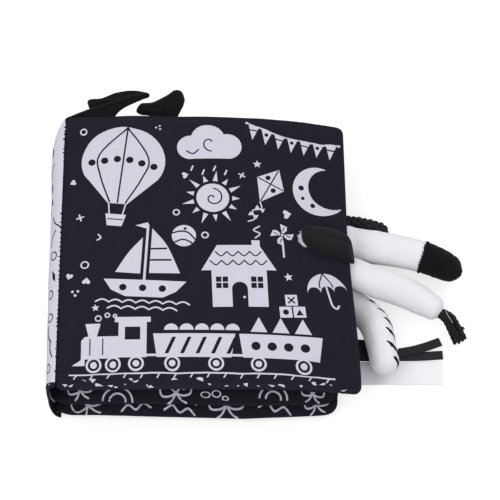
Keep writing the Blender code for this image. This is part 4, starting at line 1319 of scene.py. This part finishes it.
class Tube:
    """A stuffed tube along a path, from rows of x, y, z, half width and half height in millimetres."""

    rings, sides = 40, 24

    def __init__(self, name, rows, tip_share=1.0, cap=0.5 * mm):
        rows = np.array(rows, float) * mm
        steps = np.linalg.norm(np.diff(rows[:, :3], axis=0), axis=1)
        run = np.concatenate([[0], np.cumsum(steps)])
        self.name, self.length, self.tip = name, run[-1], tip_share * rows[-1, 3]
        self.table_run = np.arange(0, self.length, 0.25 * mm)
        self.table = np.stack([np.interp(self.table_run, run, column) for column in rows.T], -1)
        for _ in range(160):
            self.table[1:-1] = self.table[1:-1] * 0.5 + (self.table[:-2] + self.table[2:]) * 0.25
        self.swell = np.zeros((self.rings, self.sides, 3))
        self.simulate(cap)

    def at(self, run, column):
        inner = np.interp(run, self.table_run, self.table[:, column])
        slope = (self.table[-1, column] - self.table[-5, column]) / (self.table_run[-1] - self.table_run[-5])
        return inner + np.maximum(run - self.table_run[-1], 0) * slope

    def frame(self, run):
        """Centres, directions ahead and to the left, half widths and half heights along the path."""
        run = np.asarray(run, float)
        centre = np.stack([self.at(run, k) for k in range(3)], -1)
        step = 1.0 * mm
        ahead = np.stack([self.at(run + step, k) - self.at(run - step, k) for k in (0, 1)], -1)
        ahead /= np.linalg.norm(ahead, axis=-1)[..., None]
        zero = np.zeros_like(run)
        forward = np.stack([ahead[..., 0], ahead[..., 1], zero], -1)
        left = np.stack([-ahead[..., 1], ahead[..., 0], zero], -1)
        return centre, forward, left, self.at(run, 3), self.at(run, 4)

    def points(self, run, turn):
        """Points of the surface and directions out of it, by distance along the path and turn about it."""
        centre, forward, left, wide, high = self.frame(run)
        cut = np.sqrt(np.clip(1 - (1 - np.clip((self.length - run) / self.tip, 0, 1)) ** 2, 0, 1))
        side, rise = np.cos(turn), np.sin(turn)
        up = np.array([0, 0, 1.0])
        place = centre + left * (wide * cut * side)[..., None] + up * (high * cut * rise)[..., None]
        out = left * (side / wide)[..., None] + up * (rise / high)[..., None]
        out = out / np.linalg.norm(out, axis=-1)[..., None] * np.maximum(cut, 0.02)[..., None]
        out = out + forward * np.sqrt(np.clip(1 - cut**2, 0, 1))[..., None]
        row = np.clip(run / self.length, 0, 1) * (self.rings - 1.001)
        column = (turn / (2 * np.pi) % 1) * self.sides
        i, j = row.astype(int), column.astype(int) % self.sides
        u, v, k = (row - i)[..., None], (column - np.floor(column))[..., None], (j + 1) % self.sides
        swell = self.swell
        moved = swell[i, j] * (1 - u) * (1 - v) + swell[i + 1, j] * u * (1 - v)
        moved = moved + swell[i, k] * (1 - u) * v + swell[i + 1, k] * u * v
        return place + moved, out

    def grid(self, runs, sides):
        run, turn = np.meshgrid(runs, 2 * np.pi * np.arange(sides) / sides, indexing="ij")
        return run, turn

    def simulate(self, cap):
        """Inflates a coarse copy as cloth and keeps how its points moved, up to a cap."""
        run, turn = self.grid(np.linspace(0, self.length - 0.02 * mm, self.rings), self.sides)
        start = self.points(run, turn)[0]
        moved = inflate(f"{self.name}_trial", start.reshape(-1, 3), tube_faces(self.rings, self.sides),
                        np.repeat(np.arange(self.rings) < 3, self.sides))
        change = moved.reshape(start.shape) - start
        size = np.linalg.norm(change, axis=-1)[..., None] + 1e-12
        ease = smooth_share(np.arange(self.rings), 1, 8) * (1 - smooth_share(np.arange(self.rings), 36, 39))
        self.swell = change * np.minimum(1, cap / size) * ease[:, None, None]

    def build(self, name, materials, body, slot, nodes, start=0.0, end=None, sides=72, spacing=0.7 * mm,
              relief=None, which=None, joint=False):
        """The tube's fine mesh between two distances, with relief and with a material for each face."""
        closes = end is None
        stop = self.length - self.tip if closes else end
        runs = np.linspace(start, stop, max(2, round((stop - start) / spacing)))
        if closes:
            turns = np.radians(np.linspace(0, 88.5, 18))[1:]
            runs = np.concatenate([runs, self.length - self.tip * (1 - np.sin(turns))])
        run, turn = self.grid(runs, sides)
        points, out = self.points(run, turn)
        push = noise_layers(points, ((9 * mm, 0.35 * mm), (2.2 * mm, 0.07 * mm)))
        if relief:
            push += relief(run, turn, points)
        if joint:
            far = np.minimum(np.abs(run - start) if closes else np.abs(run - end), 1)
            push -= 0.9 * mm * np.exp(-((far / (0.9 * mm)) ** 2))
        points = points + out * push[..., None]
        faces = tube_faces(len(runs), sides)
        indices = None
        if which:
            middle_run = (run[:-1] + run[1:]) / 2
            middle_turn = (turn[:-1] + np.pi / sides) % (2 * np.pi)
            chosen = which(middle_run, np.degrees(middle_turn)).astype(int).ravel()
            indices = np.concatenate([chosen, np.zeros(len(faces) - len(chosen), int)])
        piece = mesh_piece(name, points.reshape(-1, 3), faces, materials, indices)
        return dress(piece, body, slot, *nodes)


def tube_faces(rings, sides):
    """Quads of a tube whose rings follow one another, with a fan at each end."""
    faces = []
    for i in range(rings - 1):
        for k in range(sides):
            a, b = i * sides + k, i * sides + (k + 1) % sides
            faces.append((a, a + sides, b + sides, b))
    last = (rings - 1) * sides
    faces.append(tuple(range(sides)))
    faces.append(tuple(last + k for k in reversed(range(sides))))
    return faces


long_path = Tube("long_tail", (
    (94.2, 20.7, 28.5, 1.8, 1.8), (98.5, 20.0, 25.1, 8.4, 4.1), (102.9, 19.2, 19.5, 11.4, 6.3),
    (107.2, 18.6, 16.0, 11.6, 8.3), (111.5, 18.1, 15.5, 11.5, 9.6), (120.1, 16.8, 15.5, 11.3, 10.6),
    (128.7, 15.3, 15.5, 11.0, 10.8), (137.2, 13.5, 15.5, 10.8, 10.6), (145.6, 11.3, 15.5, 10.6, 10.5),
    (153.9, 8.4, 15.5, 10.4, 10.3), (161.9, 4.8, 15.3, 10.0, 9.8), (169.5, 0.5, 15.0, 9.2, 9.1),
    (177.2, -5.0, 14.6, 8.0, 8.0),
), tip_share=1.30)
tassel_path = Tube("tassel_tail", (
    (94.2, -5.8, 28.8, 1.8, 1.8), (98.0, -6.0, 28.0, 7.0, 2.9), (101.8, -6.5, 26.4, 10.2, 4.4),
    (105.6, -7.2, 24.0, 10.8, 6.0), (109.3, -8.0, 21.4, 10.8, 7.4), (116.9, -9.8, 17.6, 10.7, 9.2),
    (124.3, -11.9, 16.0, 10.7, 9.8), (131.6, -14.4, 15.4, 10.6, 10.0), (138.5, -17.4, 15.2, 10.4, 9.9),
    (145.0, -20.9, 15.0, 10.0, 9.6), (151.2, -24.7, 14.8, 9.3, 9.0), (157.0, -28.6, 14.5, 8.3, 8.1),
    (162.6, -32.3, 14.2, 7.0, 7.0),
), tip_share=0.75)
striped_path = Tube("striped_tail", (
    (93.9, -15.5, 15.5, 1.8, 1.8), (97.3, -16.2, 14.6, 4.2, 2.9), (101.0, -17.8, 12.6, 6.6, 4.4),
    (105.0, -21.1, 9.2, 8.3, 5.5), (109.2, -25.4, 8.2, 9.6, 6.5), (113.0, -30.0, 8.9, 10.2, 7.5),
    (116.2, -35.0, 10.2, 10.4, 8.4), (118.6, -40.2, 12.6, 10.3, 9.3), (120.3, -46.6, 13.0, 10.0, 9.4),
    (121.6, -53.4, 13.0, 9.8, 9.4), (122.6, -60.8, 13.0, 9.6, 9.4), (123.6, -68.0, 13.0, 9.3, 9.2),
    (124.9, -76.0, 13.0, 9.0, 9.0),
), tip_share=0.95)
bumpy_path = Tube("bumpy_tail", (
    (93.9, 38.5, 15.2, 1.8, 1.8), (95.8, 38.6, 14.1, 3.6, 2.7), (97.6, 38.7, 11.6, 5.3, 3.6),
    (99.5, 38.6, 9.0, 6.4, 4.3), (101.3, 38.4, 7.3, 7.0, 5.0), (105.0, 38.0, 7.0, 7.2, 5.4),
    (112.3, 36.8, 7.0, 7.2, 5.5), (119.5, 34.7, 7.0, 7.2, 5.5), (126.5, 31.8, 7.0, 7.0, 5.4),
    (129.8, 30.0, 7.0, 6.7, 5.3),
), tip_share=0.9, cap=0.2 * mm)


def seam_groove_at(degrees, depth=0.32 * mm):
    """A sewn seam along a tube, at an angle about it."""
    def relief(run, turn, points):
        away = (np.degrees(turn) - degrees + 180) % 360 - 180
        ripple = 0.12 * mm * np.sin(run / (0.85 * mm)) * np.exp(-((away / 7) ** 2))
        return ripple - depth * np.exp(-((away / 3.5) ** 2))
    return relief


def pile_clumps(run, turn, points):
    """The rough surface of a longer pile."""
    return noise_layers(points, ((7 * mm, 0.35 * mm), (2.4 * mm, 0.45 * mm), (1.1 * mm, 0.18 * mm)))


def bobbles(run, turn, points):
    """Round bobbles in staggered rows."""
    pitch = 3.6 * mm
    row = np.floor(run / pitch)
    around = 2 * np.pi / 9
    column = np.round((turn + (row % 2) * around / 2) / around) * around - (row % 2) * around / 2
    away_run = (run / pitch - row - 0.5) * pitch
    away_turn = ((turn - column + np.pi) % (2 * np.pi) - np.pi) * 5.6 * mm
    far = np.hypot(away_run, away_turn) / (1.75 * mm)
    return 1.05 * mm * np.sqrt(np.clip(1 - far**2, 0, 1)) - 0.5 * mm


# Each stripe's start along the tail, the angle it reaches up to, and how far it leans down the tail
stripe_starts = (
    (20.5, 56, 5.6), (29, 58, 5.6), (37.3, 60, 5.6), (45, 68, 5.4), (55, 78, 5.0), (66.5, 62, 2.8),
)


def stripes(run, degrees):
    """Black thorn-shaped stripes: thin at their upper ends, wide where they reach the outer side."""
    marks = np.zeros(run.shape, bool)
    left = (degrees + 180) % 360 - 180
    for index, (at, reach, fall) in enumerate(stripe_starts):
        down = np.maximum(reach - left, 0)
        lean = at * mm + fall * mm * (down / 40) ** 0.9
        width = 1.75 * mm * np.clip(down / 18, 0, 1) * np.clip((75 - down) / 20 + 0.5, 0, 1)
        ragged = 0.2 * mm * np.sin(left * 0.31 + index * 2)
        marks |= (left < reach) & (left > -40) & (np.abs(run - lean - ragged) < width)
    return marks


long_joint = 0.695 * long_path.length
long_path.build(
    "long_tail_white", [white_plush], "long_tail", "white_plush", ("long_tail_plush", "long_tail_stuffing"),
    end=long_joint - 0.1 * mm, relief=seam_groove_at(208), joint=True,
)
long_path.build(
    "long_tail_black_tip", [black_plush], "long_tail", "black_plush", ("long_tail_tip",),
    start=long_joint + 0.1 * mm, relief=pile_clumps, sides=96, spacing=0.5 * mm,
)
tassel_path.build(
    "tassel_tail_white", [white_plush], "tassel_tail", "white_plush",
    ("tassel_tail_plush", "tassel_tail_stuffing"), relief=seam_groove_at(205),
)
striped_path.build(
    "striped_tail_white", [white_plush, black_plush], "striped_tail", "white_plush",
    ("striped_tail_plush", "striped_tail_stuffing"), sides=110, spacing=0.45 * mm, which=stripes,
    relief=seam_groove_at(20, 0.22 * mm),
)
bumpy_path.build(
    "bumpy_tail_black", [grey_plush], "bumpy_tail", "black_plush",
    ("bumpy_tail_plush", "bumpy_tail_stuffing"), sides=96, spacing=0.4 * mm, relief=bobbles,
)


def joint_tufts():
    """Tufts of black pile that reach over the white plush at the long tail's joint."""
    draw = random.Random(6)
    points, faces = [], []
    for k in range(64):
        turn = 2 * math.pi * k / 64 + draw.uniform(-0.04, 0.04)
        reach = draw.uniform(0.9, 2.2) * mm
        path = []
        for share in (0, 0.4, 0.75, 1):
            run = np.array(long_joint + 0.6 * mm - share * reach)
            place, out = long_path.points(run, np.array(turn + 0.02 * share))
            lift = (0.05 + 0.30 * math.sin(math.pi * share)) * mm
            path.append(Vector(place + out * lift))
        add_stitch(points, faces, path, draw.uniform(0.4, 0.62) * mm, 6)
    piece = mesh_piece("long_tail_joint_tufts", points, faces, [black_plush])
    return dress(piece, "long_tail", "black_plush")


joint_tufts()


def closed_path(points, steps=6):
    """A smooth closed outline through the given points."""
    count = len(points)
    long_way = smooth_path([*points[-3:], *points, *points[:3]], steps)
    start = 3 * steps
    return [tuple(p) for p in long_way[start:start + count * steps]]


def outline_distance(flat, outline):
    """How far points of a plane lie from an outline."""
    start, end = np.array(outline), np.roll(np.array(outline), -1, axis=0)
    along = end - start
    share = ((flat[:, None] - start) * along).sum(-1) / (along**2).sum(-1)
    nearest = start + along * np.clip(share, 0, 1)[..., None]
    return np.linalg.norm(flat[:, None] - nearest, axis=-1).min(axis=1)


def puffed_form(name, outline, base, up, down, rim, materials, spacing=0.8, rough=0.25, seed=0, mark=None):
    """A closed soft form over a drawn outline in millimetres: full in the middle, round at its rim."""
    flat, triangles, _ = cut_cloth(closed_path(outline), [], spacing)
    near = outline_distance(flat, closed_path(outline))
    full = np.sqrt(np.clip(1 - (1 - np.minimum(near / rim, 1)) ** 2, 0, 1))
    x, y = flat[:, 0] * mm, flat[:, 1] * mm
    relief = np.array([
        noise.noise(Vector((a * 130, b * 130, seed)))
        + 0.4 * noise.noise(Vector((a * 420, b * 420, seed + 3)))
        for a, b in zip(x, y)
    ]) * rough * mm
    if mark is not None:
        relief = relief + mark(flat[:, 0], flat[:, 1])
    middle = base(x, y)
    rim_points = near < 1e-4
    top = np.stack([x, y, middle + (up(x, y) + relief) * full], -1)
    low = np.stack([x, y, middle - (down(x, y) + relief * 0.5) * full], -1)
    under = np.arange(len(flat))
    under[~rim_points] = len(flat) + np.arange((~rim_points).sum())
    faces = list(triangles) + [tuple(int(under[i]) for i in reversed(t)) for t in triangles]
    return mesh_piece(name, np.concatenate([top, low[~rim_points]]), faces, materials)


def even(height):
    return lambda x, y: np.full(np.shape(x), height)


def on_cover(x, y):
    """The height of the front cover's outer face, carried on past its fore edge."""
    inner_x = np.minimum(x, front_cover.middle.x + front_cover.half.x - 6 * mm)
    z = front_cover.height(inner_x, y, 1)
    return z * droop(x, y) / droop(inner_x, y) - 0.35 * np.maximum(x - 101 * mm, 0)


folded_outline = (
    (70.6, 15.0), (77.0, 16.5), (85.6, 17.0), (93.3, 16.6), (99.6, 15.0), (102.9, 11.5), (104.2, 5.3),
    (105.0, -4.6), (103.6, -6.3), (100.1, -6.3), (93.4, -4.4), (84.1, -3.4), (76.6, -1.2), (72.0, 2.3),
    (69.9, 6.1), (69.7, 11.0),
)


def folded_thickness(x, y):
    return 7.6 * mm * (1 - 0.30 * smooth_share(x, 84 * mm, 104 * mm))


def folded_creases(x, y):
    """Two soft creases along the tail and a hollow across its root."""
    first = np.exp(-(((y - (9.5 - (x - 70) * 0.12)) / 1.3) ** 2)) * smooth_share(x, 80, 92)
    second = np.exp(-(((y - (3.0 - (x - 70) * 0.30)) / 1.1) ** 2)) * smooth_share(x, 76, 90)
    return -(0.9 * first + 0.7 * second) * mm


folded_tail = puffed_form(
    "folded_tail_black", folded_outline, lambda x, y: on_cover(x, y) + 0.35 * mm, folded_thickness,
    even(0.0), 5.5, [warm_plush], spacing=0.7, rough=0.5, seed=1, mark=folded_creases,
)
dress(folded_tail, "folded_tail", "black_plush", "folded_tail_plush")

flap_front = (
    (-88.4, 102.6), (-90.6, 105.2), (-89.0, 108.0), (-84.4, 110.2),
    (-73.6, 115.0), (-68.2, 116.8), (-58.5, 120.8),
    (-48.0, 124.6), (-38.0, 127.0), (-33.4, 126.2), (-34.6, 123.6), (-44.4, 118.6), (-51.0, 114.4),
    (-55.3, 109.2),
    (-56.6, 102.4),
)
flap_back = (
    (-73.3, 116.4), (-75.0, 120.4), (-75.3, 123.0), (-73.2, 124.8), (-65.8, 125.4),
    (-56.0, 129.8), (-45.4, 131.6),
    (-37.6, 130.6), (-33.2, 129.0), (-32.3, 127.2), (-34.6, 125.0), (-44.6, 122.8), (-58.6, 119.4),
    (-68.4, 116.4),
)


def flap_folds(x, y):
    """Creases that run along the flap's layers."""
    along = (x + 90) * 0.38
    first = np.exp(-(((y - 105.6 - along) / 0.8) ** 2))
    second = np.exp(-(((y - 109.6 - along * 0.9) / 1.1) ** 2))
    return (0.85 * (first + 0.8 * second) - 0.25) * mm


def flap_rise(x, y):
    return (1.1 + 0.5 * smooth_share(y, 104 * mm, 112 * mm)) * mm


front_layer = puffed_form(
    "top_flap_front_layer", flap_front, even(38.4 * mm), flap_rise, even(1.2 * mm), 2.0, [black_plush],
    rough=0.35, seed=2, mark=flap_folds,
)
back_layer = puffed_form(
    "top_flap_back_layer", flap_back, even(35.6 * mm), even(1.2 * mm), even(1.1 * mm), 1.8, [black_plush],
    rough=0.35, seed=5, mark=lambda x, y: 0.7 * mm * np.exp(-(((y - 122.6 - (x + 60) * 0.22) / 0.9) ** 2)),
)
for layer in (front_layer, back_layer):
    dress(layer, "top_flap", "black_plush")
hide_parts("top_flap")

club_outline = (
    (-41.3, 113.0), (-40.1, 116.3), (-37.5, 118.7), (-30.7, 119.0), (-24.0, 122.4), (-19.1, 125.7),
    (-16.3, 128.2),
    (-12.8, 129.0), (-9.6, 127.4), (-7.9, 121.8), (-8.8, 117.2), (-10.6, 113.1), (-12.6, 108.1),
    (-14.0, 102.4),
    (-29.0, 102.4), (-31.9, 108.7), (-33.5, 109.8), (-37.9, 110.2), (-40.4, 111.6),
)


def club_half(x, y):
    """Half of the top tail's thickness: thin at its sewn root and in its side lobe."""
    thick = 1.6 + 3.4 * smooth_share(y, 101 * mm, 113 * mm)
    return thick * (1 - 0.25 * smooth_share(-x, 30 * mm, 40 * mm)) * mm


def club_creases(x, y):
    first = np.exp(-(((y - 113.5 + (x + 40) * 0.12) / 1.2) ** 2)) * (1 - smooth_share(x, -26, -16))
    second = np.exp(-(((x + 21.5 - (y - 110) * 0.35) / 1.2) ** 2)) * (1 - smooth_share(y, 116, 124))
    third = np.exp(-(((x + 13.8 - (y - 120) * 0.25) / 1.0) ** 2)) * smooth_share(y, 114, 119)
    return -(1.0 * first + 1.0 * second + 0.7 * third) * mm


top_tail = puffed_form(
    "top_tail_black", club_outline, even(38.4 * mm), club_half, club_half, 4.6, [black_plush], spacing=0.7,
    rough=0.45, seed=9, mark=club_creases,
)
dress(top_tail, "top_tail", "black_plush", "top_tail")


def fur(name, body, line, count, material, seed):
    """Fine tapered hairs that fan out from a line on the front cover's face."""
    draw = random.Random(seed)
    guide = smooth_path([Vector(p) for p in line], 12)
    points, faces = [], []
    for _ in range(count):
        share = draw.random()
        base = guide[min(int(share * len(guide)), len(guide) - 1)]
        lean = math.radians(196 + (share - 0.45) * 60 + draw.uniform(-11, 11))
        reach = draw.uniform(2.2, 4.4) * (0.65 + 0.35 * math.sin(math.pi * share))
        start = Vector((base.x + draw.uniform(0.2, 2.0), base.y + draw.uniform(-0.4, 0.4)))
        lift = draw.uniform(0.4, 3.4)
        path = []
        for step in (0, 0.35, 0.7, 1):
            x = (start.x + math.cos(lean) * reach * step) * mm
            y = (start.y + math.sin(lean) * reach * step) * mm
            rest = float(on_cover(np.array(x), np.array(y))) + 0.25 * mm
            path.append(Vector((x, y, rest + lift * (1 - step) ** 1.5 * mm)))
        add_stitch(points, faces, path, draw.uniform(0.09, 0.15) * mm, 4)
    piece = mesh_piece(name, points, faces, [material])
    return dress(piece, body, "white_plush", "folded_tail_fur_tip")


fur_line = ((71.4, 12.6), (70.6, 10.2), (70.6, 7.5), (71.2, 4.8), (72.6, 3.0))
fur("folded_tail_fur", "folded_tail", fur_line, 300, white_plush, 8)


def centreline(node, count):
    """Middle points of slices of a slim node, along its longest direction."""
    points = np.array([v.co for v in frame["nodes"][node].data.vertices])
    middle = points.mean(axis=0)
    axis = np.linalg.svd(points - middle, full_matrices=False)[2][0]
    if axis[0] < 0:
        axis = -axis
    along = (points - middle) @ axis
    bounds = np.linspace(along.min(), along.max(), count + 1)
    line = []
    for low, high in zip(bounds, bounds[1:]):
        part = points[(along >= low - 1e-6) & (along <= high + 1e-6)]
        if len(part):
            line.append(Vector((part.min(axis=0) + part.max(axis=0)) / 2))
    return line


def plied_cord(name, path, radius, material, twist_pitch, sides=10, rings=34):
    """A two-ply cord along a path: a tube whose section has two lobes that turn as it goes."""
    spots = smooth_path(path, max(2, rings // (len(path) - 1)))
    points = []
    run = 0.0
    for i, point in enumerate(spots):
        if i:
            run += (point - spots[i - 1]).length
        along = (spots[min(i + 1, len(spots) - 1)] - spots[max(i - 1, 0)]).normalized()
        side = along.cross(Vector((0, 0, 1))).normalized()
        up = along.cross(side)
        for k in range(sides):
            t = 2 * math.pi * k / sides
            lobe = 1 + 0.20 * math.cos(2 * t + 2 * math.pi * run / twist_pitch)
            points.append(point + (side * math.cos(t) + up * math.sin(t)) * radius * lobe)
    return mesh_piece(name, points, cord_faces(len(spots), sides), [material])


def tassel():
    """Cords that hang from the end of the tassel tail, one pale thread, and a small red knot."""
    draw = random.Random(4)
    line = centreline("tassel_cords", 5)
    along = (line[-1] - line[0]).normalized()
    side = along.cross(Vector((0, 0, 1))).normalized()
    start = Vector((160.9, -31.4, 13.4)) * mm
    for k in range(9):
        turn = 2 * math.pi * k / 9 + draw.uniform(-0.2, 0.2)
        ring = 0 if k == 8 else 1
        path = []
        reach = draw.uniform(0.90, 1.08)
        for share in (0, 0.25, 0.5, 0.75, 1):
            at = line[min(round(share * (len(line) - 1)), len(line) - 1)] if share else start
            if share == 1:
                at = line[-1] + along * (2.6 * mm * reach)
            spread = (2.3 + 1.7 * math.sin(math.pi * min(share + 0.10, 1) * 0.62)) * mm * ring
            offset = side * math.cos(turn) * spread + Vector((0, 0, math.sin(turn) * spread * 0.72))
            at = at + offset + side * draw.uniform(-0.45, 0.45) * mm * share
            path.append(Vector((at.x, at.y, max(at.z, 1.5 * mm))))
        cord = plied_cord(f"tassel_cord_{k + 1}", path, 1.12 * mm, black_cord, 3.4 * mm)
        dress(cord, "tassel_tail", "black_cord")
    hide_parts("tassel_cords")
    pale = [p + Vector((0, 0, 4.9 * mm)) + side * 0.6 * mm for p in line[:3]]
    pale_thread = plied_cord("tassel_pale_thread", pale, 0.18 * mm, pale_cord, 1.5 * mm)
    dress(pale_thread, "tassel_tail", "black_cord")
    knot_at = line[-1] - along * 3.5 * mm - side * 4.4 * mm + Vector((0, 0, 1.0 * mm))
    knot = [
        knot_at + Vector((math.cos(t) * 1.2, math.sin(t) * 1.2, 0.5 * math.sin(2 * t))) * mm
        for t in np.linspace(0, 5.6, 9)
    ]
    dress(plied_cord("tassel_red_knot", knot, 0.75 * mm, red_yarn, 2.0 * mm), "tassel_tail", "black_cord")


tassel()


def ribbon_piece(name, node, material, body, slot, wave, levels=3, frill=0.0, shorter=0.0):
    """A ribbon on the node's own surface, in small cells, with a slight wave along it."""
    source = frame["nodes"][node]
    mesh = source.data.copy()
    mesh.name = name
    shape = bmesh.new()
    shape.from_mesh(mesh)
    bmesh.ops.remove_doubles(shape, verts=shape.verts, dist=1e-6)
    shape.to_mesh(mesh)
    shape.free()
    piece = bpy.data.objects.new(name, mesh)
    bpy.context.scene.collection.objects.link(piece)
    finer = piece.modifiers.new("finer", "SUBSURF")
    finer.subdivision_type = "SIMPLE"
    finer.levels = finer.render_levels = levels
    settled(piece)
    points = vertices_of(piece)
    low, high = points.min(axis=0), points.max(axis=0)
    along = (points[:, 0] - low[0]) / (high[0] - low[0])
    points[:, 2] += wave * (1 - np.cos(2 * np.pi * along * 1.5)) * along
    points[:, 0] -= shorter * along
    points[:, 1] += frill * np.sin(2 * np.pi * along * 2.6 + 0.8) * along
    move_vertices(piece, points)
    piece.data.materials.clear()
    piece.data.materials.append(material)
    piece.data.shade_smooth()
    piece.data.set_sharp_from_angle(angle=math.radians(40))
    return dress(piece, body, slot, node)


for name, node, wave in (
    ("upper_black_ribbon", "upper_narrow_ribbon", 0.6 * mm),
    ("lower_black_ribbon", "lower_narrow_ribbon", 0.5 * mm),
    ("black_ribbon_tab", "ribbon_tab", 0.0),
):
    ribbon_piece(name, node, black_ribbon, "narrow_ribbons", "black_ribbon", wave)
satin_piece = ribbon_piece(
    "white_satin_ribbon", "satin_ribbon", satin, "satin_ribbon", "white_satin", 0.12 * mm,
    frill=0.35 * mm, shorter=1.4 * mm,
)


def look_from(azimuth, elevation, distance, target):
    """The camera at the photograph's angle; azimuth 0 looks along +Y."""
    az, el = math.radians(azimuth), math.radians(elevation)
    view = Vector((math.sin(az) * math.cos(el), math.cos(az) * math.cos(el), -math.sin(el)))
    data = bpy.data.cameras.new("camera")
    data.lens = view_lens
    data.sensor_width = 36
    data.clip_start, data.clip_end = 0.05, 20
    camera = bpy.data.objects.new("camera", data)
    bpy.context.scene.collection.objects.link(camera)
    camera.location = Vector(target) - view * distance
    camera.rotation_euler = (math.pi / 2 - el, 0, -az)
    bpy.context.scene.camera = camera


look_from(view_azimuth, view_elevation, view_distance, view_target)


def seen_rays(tree):
    """1 where a camera, glossy or transmission ray looks, for a plain white surround."""
    path = tree.nodes.new("ShaderNodeLightPath")
    total = path.outputs["Is Camera Ray"]
    for output in ("Is Glossy Ray", "Is Transmission Ray"):
        highest = tree.nodes.new("ShaderNodeMath")
        highest.operation = "MAXIMUM"
        tree.links.new(total, highest.inputs[0])
        tree.links.new(path.outputs[output], highest.inputs[1])
        total = highest.outputs[0]
    return total


def surround(ambient):
    """World light: soft from all round, and plain white where it is looked at."""
    world = bpy.data.worlds.new("studio")
    world.use_nodes = True
    bpy.context.scene.world = world
    tree = world.node_tree
    tree.nodes.clear()
    output = tree.nodes.new("ShaderNodeOutputWorld")
    mix = tree.nodes.new("ShaderNodeMixShader")
    light = tree.nodes.new("ShaderNodeBackground")
    light.inputs["Color"].default_value = (0.97, 0.98, 1, 1)
    light.inputs["Strength"].default_value = ambient
    white = tree.nodes.new("ShaderNodeBackground")
    white.inputs["Color"].default_value = (1, 1, 1, 1)
    white.inputs["Strength"].default_value = 1
    tree.links.new(seen_rays(tree), mix.inputs["Fac"])
    tree.links.new(light.outputs[0], mix.inputs[1])
    tree.links.new(white.outputs[0], mix.inputs[2])
    tree.links.new(mix.outputs[0], output.inputs["Surface"])


def floor(size, diffuse, glow):
    """A pale floor that keeps the shadow and looks white."""
    material = bpy.data.materials.new("floor")
    material.use_nodes = True
    tree = material.node_tree
    tree.nodes.clear()
    output = tree.nodes.new("ShaderNodeOutputMaterial")
    add = tree.nodes.new("ShaderNodeAddShader")
    matt = tree.nodes.new("ShaderNodeBsdfDiffuse")
    matt.inputs["Color"].default_value = (diffuse, diffuse, diffuse, 1)
    emission = tree.nodes.new("ShaderNodeEmission")
    emission.inputs["Color"].default_value = (1, 1, 1, 1)
    scale = tree.nodes.new("ShaderNodeMath")
    scale.operation = "MULTIPLY"
    scale.inputs[1].default_value = glow
    tree.links.new(seen_rays(tree), scale.inputs[0])
    tree.links.new(scale.outputs[0], emission.inputs["Strength"])
    tree.links.new(matt.outputs[0], add.inputs[0])
    tree.links.new(emission.outputs[0], add.inputs[1])
    tree.links.new(add.outputs[0], output.inputs["Surface"])
    half = size / 2
    corners = [(-half, -half, 0), (half, -half, 0), (half, half, 0), (-half, half, 0)]
    piece = mesh_piece("floor", corners, [(0, 1, 2, 3)], [material])
    piece.location.z = -0.1 * mm


def lamp(name, place, aim, size, power):
    data = bpy.data.lights.new(name, "AREA")
    data.shape = "SQUARE"
    data.size = size
    data.energy = power
    light = bpy.data.objects.new(name, data)
    bpy.context.scene.collection.objects.link(light)
    light.location = place
    light.rotation_euler = (Vector(aim) - Vector(place)).to_track_quat("-Z", "Y").to_euler()


surround(0.85)
floor(6, 0.55, 0.62)
lamp("key", (-0.55, -0.35, 1.0), (0.02, 0, 0.02), 0.7, 3.3)
lamp("fill", (0.8, 0.5, 0.9), (0.05, 0, 0.02), 0.9, 1.5)
bpy.context.scene.view_settings.view_transform = "Standard"
